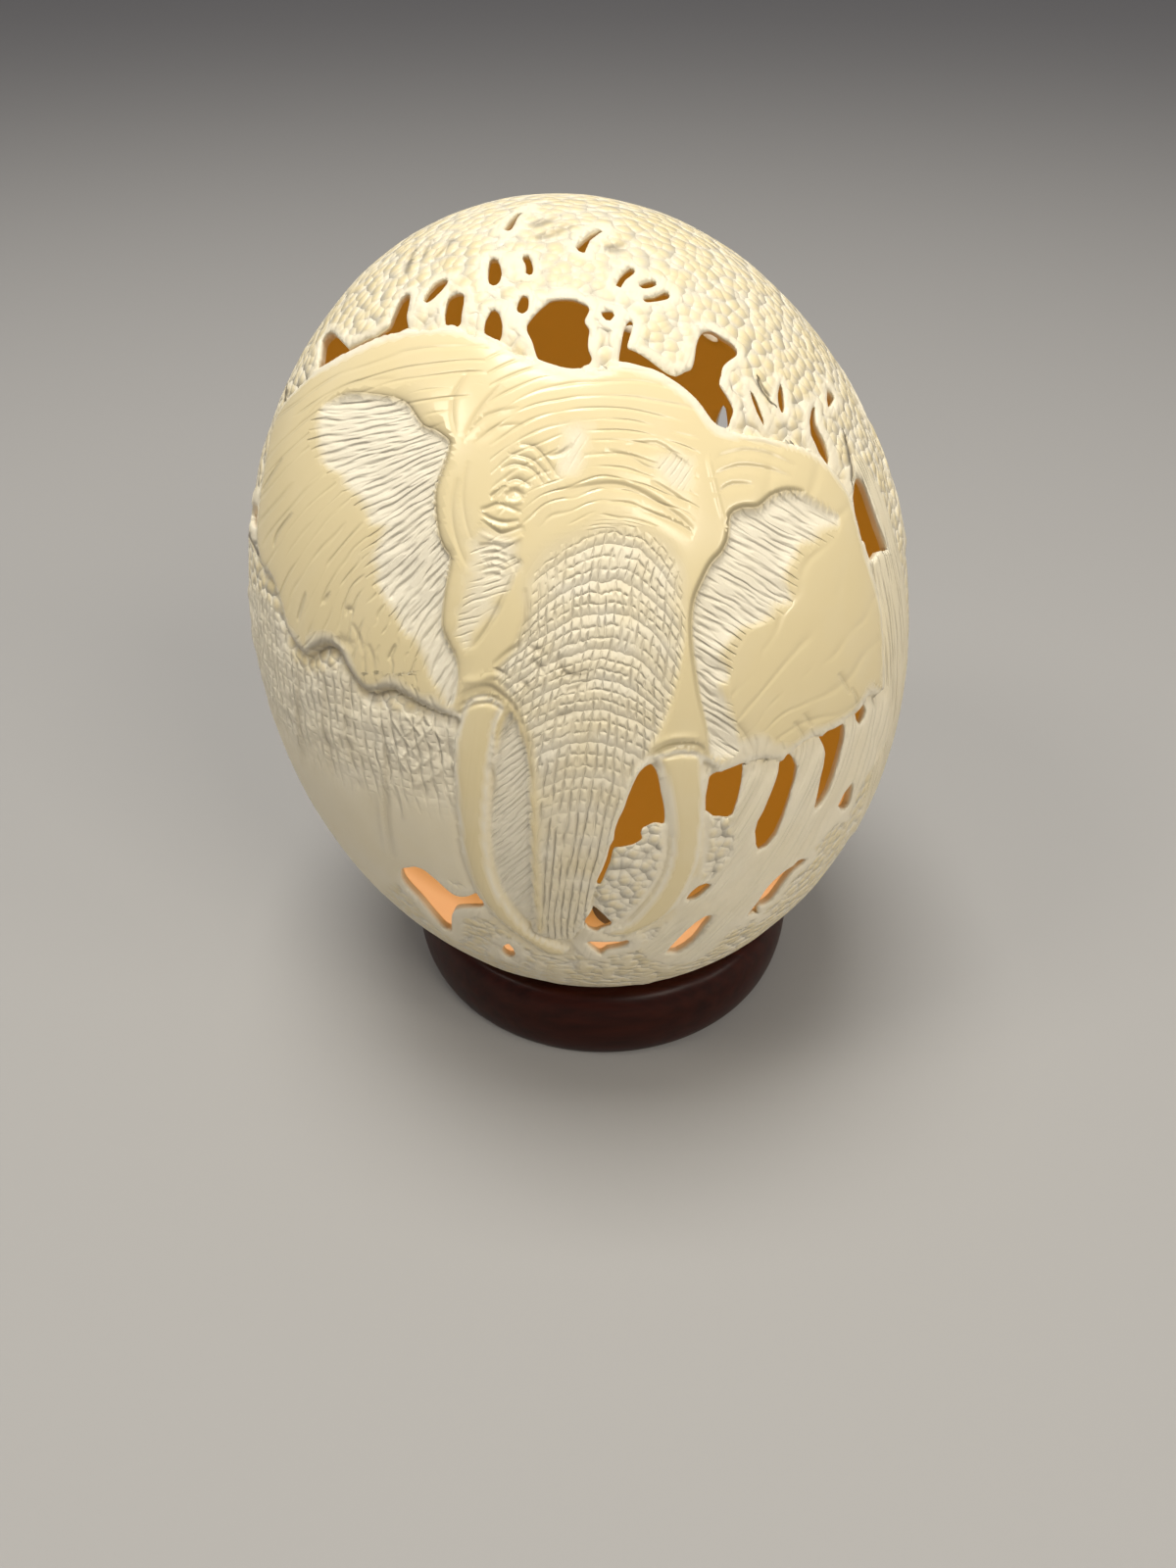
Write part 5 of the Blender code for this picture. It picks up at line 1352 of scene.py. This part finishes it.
    @staticmethod
    def write_corners(mesh: bpy.types.Mesh, grain: np.ndarray, strokes: Strokes) -> None:
        """Write the grain and the cuts onto the corners of the outside's triangles, which come first."""
        corners = len(mesh.loops)
        for name, values in ((Attribute.GRAIN, grain), (Attribute.LINE, strokes.line)):
            layer = mesh.attributes.new(name.value, "FLOAT_VECTOR", "CORNER")
            full = np.zeros((corners, 3), np.float32)
            full[:, 2] = 1.0
            full[:values.shape[0] * 3] = values.reshape(-1, 3)
            layer.data.foreach_set("vector", full.ravel())
        layer = mesh.attributes.new(Attribute.LINE_FALL.value, "FLOAT", "CORNER")
        full = np.zeros(corners, np.float32)
        full[:len(strokes.fall) * 3] = np.repeat(strokes.fall, 3)
        layer.data.foreach_set("value", full)


@dataclass(frozen=True)
class WoodenRing:
    """The ring that the egg rests in, turned from one piece of wood."""

    egg: EggShape
    radius: float = 43.05
    bore: float = 31.0
    height: float = 17.5
    shoulder: float = 39.6
    foot: float = 40.6
    widest: float = 9.0
    offset: float = 3.96
    seat: float = 0.5
    turns: int = 256

    def profile(self) -> np.ndarray:
        """Return the section from the top of the bore out over the bead to the foot, as radii and heights."""
        top = [(self.bore + 0.5, self.height), (self.shoulder, self.height)]
        lead = np.linspace(self.bore + 0.9, self.shoulder - 0.6, 14)
        crown = [(radius, self.height) for radius in lead]
        outer = [(self.shoulder + (self.radius - self.shoulder) * math.sin(turn),
                  self.widest + (self.height - self.widest) * math.cos(turn))
                 for turn in np.linspace(0, math.pi / 2, 14)]
        lower = [(self.foot + (self.radius - self.foot) * math.cos(turn), self.widest * (1 - math.sin(turn)))
                 for turn in np.linspace(0, math.pi / 2, 10)[1:]]
        under = [(self.foot - 0.6, 0.0), (self.bore + 0.5, 0.0)]
        inner = [(self.bore, 0.4), (self.bore, 3.0), (self.bore, 6.0), (self.bore, 9.0)]
        return np.array(top[:1] + crown + outer + lower + under + inner)

    def seat_height(self, x: np.ndarray, y: np.ndarray) -> np.ndarray:
        """Return how high the seat stands under the egg at those places."""
        c, s = math.cos(self.egg.lean), math.sin(self.egg.lean)
        turn = np.array([[c, 0, s], [0, 1, 0], [-s, 0, c]])
        form = turn @ np.diag(1 / self.egg.radii(self.seat) ** 2) @ turn.T
        a = form[2, 2]
        b = 2 * (form[0, 2] * x + form[1, 2] * y)
        rest = form[0, 0] * x * x + form[1, 1] * y * y + 2 * form[0, 1] * x * y - 1
        root = b * b - 4 * a * rest
        low = (-b - np.sqrt(np.maximum(root, 0))) / (2 * a) + self.egg.centre_height
        return np.where(root > 0, low, 1e3)

    def build(self) -> bpy.types.Object:
        """Build the ring."""
        section = self.profile()
        turn = np.linspace(0, 2 * np.pi, self.turns, endpoint=False)
        x = section[:, 0] * np.cos(turn)[:, None] + self.offset
        y = section[:, 0] * np.sin(turn)[:, None]
        z = np.minimum(np.broadcast_to(section[:, 1], x.shape), self.seat_height(x, y))
        points = np.stack([x, y, z], axis=-1).reshape(-1, 3) * MM
        count = len(section)
        index = np.arange(self.turns * count).reshape(self.turns, count)
        after = np.roll(index, -1, axis=0)
        quads = np.stack([index, after, np.roll(after, -1, axis=1), np.roll(index, -1, axis=1)], axis=-1)
        mesh = bpy.data.meshes.new("wooden_ring")
        mesh.from_pydata(points, [], quads.reshape(-1, 4)[:, ::-1])
        mesh.shade_smooth()
        mesh.set_sharp_from_angle(angle=math.radians(50))
        ring = bpy.data.objects.new("ring", mesh)
        bpy.context.scene.collection.objects.link(ring)
        LOG.info("ring: %d faces", len(mesh.polygons))
        return ring


def linear(colour: str) -> tuple[float, float, float, float]:
    """Turn a colour written as six hex digits into linear light."""
    parts = [int(colour[k:k + 2], 16) / 255 for k in (0, 2, 4)]
    return (*(part / 12.92 if part <= 0.04045 else ((part + 0.055) / 1.055) ** 2.4 for part in parts), 1.0)


def add_node(tree: bpy.types.NodeTree, kind: str, *inputs: object, **settings: object) -> bpy.types.Node:
    """Add a shader node, with its settings and links.

    Args:
        tree: The nodes of the material.
        kind: The node's kind, without the ShaderNode that every kind starts with.
        inputs: Its first inputs in order. A node there stands for its first output.
        settings: Its own properties by name, and other inputs by a name or number after 'in_'.

    Returns:
        The node.
    """
    node = tree.nodes.new("ShaderNode" + kind)
    sockets = {str(k): value for k, value in enumerate(inputs)}
    for name, value in settings.items():
        if name.startswith("in_"):
            sockets[name[3:]] = value
        else:
            setattr(node, name, value)
    for name, value in sockets.items():
        socket = node.inputs[int(name) if name.isdigit() else name]
        value = value.outputs[0] if isinstance(value, bpy.types.Node) else value
        if isinstance(value, bpy.types.NodeSocket):
            tree.links.new(value, socket)
        else:
            socket.default_value = value
    return node


AddNode = Callable[..., bpy.types.Node]
Held = dict[Attribute, bpy.types.bpy_prop_collection]


@dataclass(frozen=True)
class OstrichEggshell:
    """Ostrich eggshell, polished where it is whole and cut with a fine burr elsewhere.

    The polish brings out a cream skin with a soft gloss. The cuts lay open the chalk-white layer under it,
    which is matt, and their bottoms are painted darker for dirt and for painted shade. The inside is painted
    dark honey and glows, as painted light that comes through the shell. Patterns are in millimetres.
    """

    polished: str = "E4D3A6"
    carved: str = "EAE1CA"
    # Painted shade and dirt: the colour that the bottoms of the cuts and the trunk's grooves are painted
    # towards
    dust: str = "B4A482"
    # Painted light: the inside's honey colour, its glow and the lighter foot stand in for light that comes
    # through the shell
    inside: str = "D8BA6E"
    glow: str = "A4801E"
    lit_inside: str = "F0C08A"
    lump: float = 1.887
    mottle: float = 9.09
    powder: float = 0.6667

    def cuts(self, add: AddNode, held: Held) -> tuple[bpy.types.Node, bpy.types.Node]:
        """Return how far the single cuts sink the skin, in millimetres, and where their bottoms are."""
        away, depth, width = add("SeparateXYZ", held[Attribute.LINE]["Vector"]).outputs
        fall = held[Attribute.LINE_FALL]["Fac"]
        share = add("Math", away, width, operation="DIVIDE")
        square = add("Math", share, share, operation="MULTIPLY")
        groove = add("Math", add("Math", square, -1.0, operation="MULTIPLY"), operation="EXPONENT")
        run_out = add("Math", add("Math", fall, operation="ABSOLUTE"), 0.01, operation="MAXIMUM")
        ease = add("Math", add("Math", away, operation="ABSOLUTE"), run_out, operation="DIVIDE")
        slope = add("Math", add("Math", ease, -1.0, operation="MULTIPLY"), operation="EXPONENT")
        short = add("Math", ease, -0.4, 1.0, operation="MULTIPLY_ADD", use_clamp=True)
        slope = add("Math", slope, short, operation="MULTIPLY")
        left = add("Math", add("Math", away, fall, operation="MULTIPLY"), 0.0, operation="GREATER_THAN")
        extra = add("Math", left, add("Math", slope, groove, operation="SUBTRACT"), operation="MULTIPLY")
        shape = add("Math", groove, extra, operation="ADD")
        bottom = add("Math", groove, add("Math", depth, 0.0, operation="MAXIMUM"), operation="MULTIPLY")
        return add("Math", shape, depth, operation="MULTIPLY"), bottom

    def strokes(self, add: AddNode, held: Held) -> bpy.types.Node:
        """Return how far the combed strokes sink the skin: grooves side by side that wander and fade."""
        grain = held[Attribute.GRAIN]["Vector"]
        slow = add("VectorMath", grain, (0.6, 0.25, 1.0), operation="MULTIPLY")
        drift = add("TexNoise", slow, in_Scale=1.0, in_Detail=1.0)
        fade = add("TexNoise", grain, in_Scale=1.1, in_Detail=1.0)
        across = add("SeparateXYZ", grain).outputs[1]
        wave = add("Math", drift, 1.8, across, operation="MULTIPLY_ADD")
        ridge = add("Math", add("Math", wave, math.pi, operation="MULTIPLY"), operation="SINE")
        thin = add("Math", held[Attribute.POLISH]["Fac"], 6.0, 1.0, operation="MULTIPLY_ADD")
        trough = add("Math", 1.0, add("Math", ridge, ridge, operation="MULTIPLY"), operation="SUBTRACT")
        groove = add("Math", trough, thin, operation="POWER")
        share = add("Math", fade, 4.5, -1.7, operation="MULTIPLY_ADD", use_clamp=True)
        depth = add("Math", share, held[Attribute.GRAIN_DEPTH]["Fac"], operation="MULTIPLY")
        return add("Math", groove, depth, operation="MULTIPLY")

    def trunk_skin(self, add: AddNode, held: Held) -> bpy.types.Node:
        """Return how far the rings and ribs of the trunk sink its skin."""
        grain = held[Attribute.GRAIN]["Vector"]
        drift = add("TexNoise", grain, in_Scale=0.7, in_Detail=2.0).outputs["Color"]
        drift = add("SeparateXYZ", drift).outputs
        fade = add("TexNoise", grain, in_Scale=1.7, in_Detail=1.0).outputs["Color"]
        fade = add("SeparateXYZ", fade).outputs
        along, down, part = add("SeparateXYZ", grain).outputs
        ring = add("Math", down, add("Math", drift[0], 0.3, -0.15, operation="MULTIPLY_ADD"), operation="ADD")
        rib = add("Math", along, add("Math", drift[1], 0.9, -0.45, operation="MULTIPLY_ADD"), operation="ADD")
        lower = add("Math", part, TRUNK_GRAIN, operation="SUBTRACT", use_clamp=True)
        fewer = add("Math", lower, -0.5, 1.0, operation="MULTIPLY_ADD")
        more = add("Math", lower, 0.3, 1.0, operation="MULTIPLY_ADD")
        total = None
        for way, count, sharp, depth, share, chance in (
            (ring, 1.0, 2.2, 0.36, fewer, None),
            (ring, 3.0, 1.2, 0.4, fewer, fade[0]),
            (rib, 1.0, 1.2, 0.42, more, fade[1]),
        ):
            wave = add("Math", add("Math", way, math.pi * count, operation="MULTIPLY"), operation="SINE")
            trough = add("Math", 1.0, add("Math", wave, operation="ABSOLUTE"), operation="SUBTRACT")
            groove = add("Math", trough, sharp, operation="POWER")
            groove = add("Math", groove, depth, operation="MULTIPLY")
            groove = add("Math", groove, share, operation="MULTIPLY")
            if chance is not None:
                often = add("Math", chance, 3.2, -0.8, operation="MULTIPLY_ADD", use_clamp=True)
                groove = add("Math", groove, often, operation="MULTIPLY")
            total = groove if total is None else add("Math", total, groove, 0.12, operation="SMOOTH_MAX")
        return add("Math", total, held[Attribute.BRICK]["Fac"], operation="MULTIPLY")

    def lining(self, add: AddNode, place: bpy.types.NodeSocket) -> tuple[bpy.types.NodeSocket, ...]:
        """Return the inside's painted colour, the colour of its painted glow and how strongly it glows.

        They stand in for light that comes through the shell. Light that falls in through the crown reaches
        the foot of the front, so there the inside is painted lighter and glows more.
        """
        _, back, high = add("SeparateXYZ", place).outputs
        forward = add("Math", back, -55.0, 0.2, operation="MULTIPLY_ADD", use_clamp=True)
        low = add("Math", high, -40.0, 2.6, operation="MULTIPLY_ADD", use_clamp=True)
        foot = add("Math", forward, low, operation="MULTIPLY")
        colour, glow = (
            add("Mix", foot, data_type="RGBA", in_6=linear(far), in_7=linear(self.lit_inside)).outputs[2]
            for far in (self.inside, self.glow)
        )
        return colour, glow, add("Math", foot, 0.42, 0.16, operation="MULTIPLY_ADD").outputs[0]

    def made(self) -> bpy.types.Material:
        """Make the material."""
        material = bpy.data.materials.new("ostrich eggshell")
        material.use_nodes = True
        tree = material.node_tree
        add = partial(add_node, tree)
        held = {name: add("Attribute", attribute_name=name.value).outputs for name in Attribute}
        polish, foliage = held[Attribute.POLISH]["Fac"], held[Attribute.FOLIAGE]["Fac"]
        place = add("TexCoord").outputs["Object"]
        mottle = add("TexNoise", place, in_Scale=1 / (self.mottle * MM), in_Detail=3.0)
        powder = add("TexNoise", place, in_Scale=1 / (self.powder * MM), in_Detail=2.0)
        lump = add("TexVoronoi", place, in_Scale=1 / (self.lump * MM))
        lump = add("Math", add("Math", lump, lump, operation="MULTIPLY"), 1.7, operation="MULTIPLY")
        lump = add("Math", 1.0, lump, operation="SUBTRACT")
        line, bottom = self.cuts(add, held)
        trunk = self.trunk_skin(add, held)
        level = add("Math", add("Math", lump, 0.6, operation="SUBTRACT"), foliage, operation="MULTIPLY")
        level = add("Math", level, 0.6, operation="MULTIPLY")
        for part in (self.strokes(add, held), line, trunk):
            level = add("Math", level, part, operation="SUBTRACT")
        matt = add("Math", polish, -0.04, 0.045, operation="MULTIPLY_ADD")
        level = add("Math", level, add("Math", powder, matt, operation="MULTIPLY"), operation="ADD")
        bump = add("Bump", in_Height=level, in_Strength=1.0, in_Distance=MM)
        shade = add("Math", mottle, 0.5, operation="SUBTRACT")
        shade = add("Math", shade, 0.5, polish, operation="MULTIPLY_ADD")
        tops = add("Math", add("Math", lump, 0.55, operation="SUBTRACT"), foliage, operation="MULTIPLY")
        shade = add("Math", shade, tops, operation="ADD", use_clamp=True)
        # Painted shade and dirt: darker at the bottoms of the cuts and in the trunk's grooves
        dust = add("Math", bottom, add("Math", trunk, 0.35, operation="MULTIPLY"), operation="ADD")
        dust = add("Math", dust, 0.7, operation="MULTIPLY", use_clamp=True)
        within = held[Attribute.INSIDE]["Fac"]
        lining, glow, strength = self.lining(add, place)
        skin = linear(self.carved)
        for share, over in ((shade, linear(self.polished)), (dust, linear(self.dust)), (within, lining)):
            skin = add("Mix", share, data_type="RGBA", in_6=skin, in_7=over).outputs[2]
        dark = linear("000000")
        wired = {
            "Base Color": skin,
            "Roughness": add("Math", polish, -0.42, 0.64, operation="MULTIPLY_ADD").outputs[0],
            "Normal": bump.outputs[0],
            # Painted glow: the inside gives off light as a stand-in for light that comes through the shell
            "Emission Color": add("Mix", within, data_type="RGBA", in_6=dark, in_7=glow).outputs[2],
            "Emission Strength": strength,
        }
        shader = tree.nodes["Principled BSDF"]
        for name, value in wired.items():
            tree.links.new(value, shader.inputs[name])
        return material


@dataclass(frozen=True)
class StainedHardwood:
    """Dark stained hardwood, turned and waxed: a satin finish over faint fibres that run along X."""

    dark: str = "1E0804"
    light: str = "3C160C"
    roughness: float = 0.34
    specular: float = 0.15
    fibres: tuple[float, float, float] = (16.667, 1.4286, 2.381)

    def made(self) -> bpy.types.Material:
        """Make the material, with fibres of those lengths in millimetres along X, Y and Z."""
        material = bpy.data.materials.new("dark stained hardwood")
        material.use_nodes = True
        tree = material.node_tree
        add = partial(add_node, tree)
        place = add("TexCoord").outputs["Object"]
        along = add("Mapping", place, in_Scale=[1 / (size * MM) for size in self.fibres])
        fibre = add("TexNoise", along, in_Scale=1.0, in_Detail=4.0)
        share = add("Math", fibre, 1.6, -0.35, operation="MULTIPLY_ADD", use_clamp=True)
        dark, light = linear(self.dark), linear(self.light)
        colour = add("Mix", share, data_type="RGBA", in_6=dark, in_7=light)
        bump = add("Bump", in_Height=fibre, in_Strength=0.25, in_Distance=0.2 * MM)
        shader = tree.nodes["Principled BSDF"]
        tree.links.new(colour.outputs[2], shader.inputs["Base Color"])
        tree.links.new(bump.outputs[0], shader.inputs["Normal"])
        shader.inputs["Roughness"].default_value = self.roughness
        shader.inputs["Specular IOR Level"].default_value = self.specular
        return material


@dataclass
class Studio:
    """The light, the pale floor and the camera."""

    drawing: Drawing
    floor: str = "A3A19F"
    sky: float = 0.3
    pitch: float = math.radians(39.4)
    yaw: float = math.radians(0.2)
    focal: float = 1155.0
    frame: float = 1600.0

    def add_light(self, name: str, toward: tuple[float, float, float], away: float, size: float,
                  power: float, colour: str) -> None:
        """Hang a soft square light that faces the egg."""
        light = bpy.data.lights.new(name, "AREA")
        light.size = size
        light.energy = power
        light.color = linear(colour)[:3]
        lamp = bpy.data.objects.new(name, light)
        way = Vector(toward).normalized()
        lamp.location = Vector((0, 0, self.drawing.egg.centre_height * MM)) + way * away
        lamp.rotation_euler = way.to_track_quat("Z", "Y").to_euler()
        bpy.context.scene.collection.objects.link(lamp)

    def build(self) -> None:
        """Set up the light, the floor and the camera."""
        scene = bpy.context.scene
        scene.view_settings.view_transform = "Standard"
        world = bpy.data.worlds.new("room light")
        world.use_nodes = True
        sky = world.node_tree.nodes["Background"]
        sky.inputs["Color"].default_value = linear("E4E2E6")
        sky.inputs["Strength"].default_value = self.sky
        scene.world = world
        self.add_light("window above", (-0.1, 0.0, 1.0), 1.1, 0.5, 10.5, "FFFDF6")
        self.add_light("lamp ahead", (0.45, -0.62, 0.6), 1.2, 0.4, 4.4, "FFF8EA")
        self.add_light("lamp right", (0.85, -0.4, 0.35), 1.3, 0.25, 2.2, "FFF6E6")
        self.add_light("lamp left", (-0.7, -0.35, 0.9), 1.3, 0.3, 2.8, "FFF8EA")
        self.add_floor()
        self.add_camera()

    def add_floor(self) -> None:
        """Lay a wide pale floor."""
        mesh = bpy.data.meshes.new("floor")
        wide = 3.0
        corners = [(-wide, -wide, 0), (wide, -wide, 0), (wide, wide, 0), (-wide, wide, 0)]
        mesh.from_pydata(corners, [], [(0, 1, 2, 3)])
        floor = bpy.data.objects.new("floor", mesh)
        bpy.context.scene.collection.objects.link(floor)
        made = bpy.data.materials.new("matt floor")
        made.use_nodes = True
        shader = made.node_tree.nodes["Principled BSDF"]
        shader.inputs["Base Color"].default_value = linear(self.floor)
        shader.inputs["Roughness"].default_value = 0.9
        mesh.materials.append(made)

    def add_camera(self) -> None:
        """Put the camera where the eye is."""
        data = bpy.data.cameras.new("camera")
        data.sensor_width = 36.0
        data.lens = self.focal / self.frame * data.sensor_width
        data.clip_start, data.clip_end = 0.01, 10.0
        camera = bpy.data.objects.new("camera", data)
        reach, rise = self.drawing.distance * MM, self.drawing.elevation
        height = self.drawing.egg.centre_height * MM + reach * math.sin(rise)
        camera.location = (0, -reach * math.cos(rise), height)
        camera.rotation_euler = Euler((math.pi / 2 - self.pitch, 0, -self.yaw))
        bpy.context.scene.collection.objects.link(camera)
        bpy.context.scene.camera = camera


def main() -> None:
    """Build the egg, its ring and the studio."""
    logging.basicConfig(level=logging.INFO, format="%(message)s")
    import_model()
    egg = EggShape()
    drawing = Drawing(egg)
    shell = ShellMesh(egg, drawing, Openings(egg, drawing), Carving(egg, drawing)).build()
    shell.data.materials.append(OstrichEggshell().made())
    ring = WoodenRing(egg).build()
    ring.data.materials.append(StainedHardwood().made())
    for piece, node, slot in ((shell, "carved_eggshell", "eggshell"), (ring, "wooden_ring", "dark_wood")):
        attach(piece, "root")
        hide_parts(node)
    Studio(drawing).build()


if __name__ == "__main__":
    main()
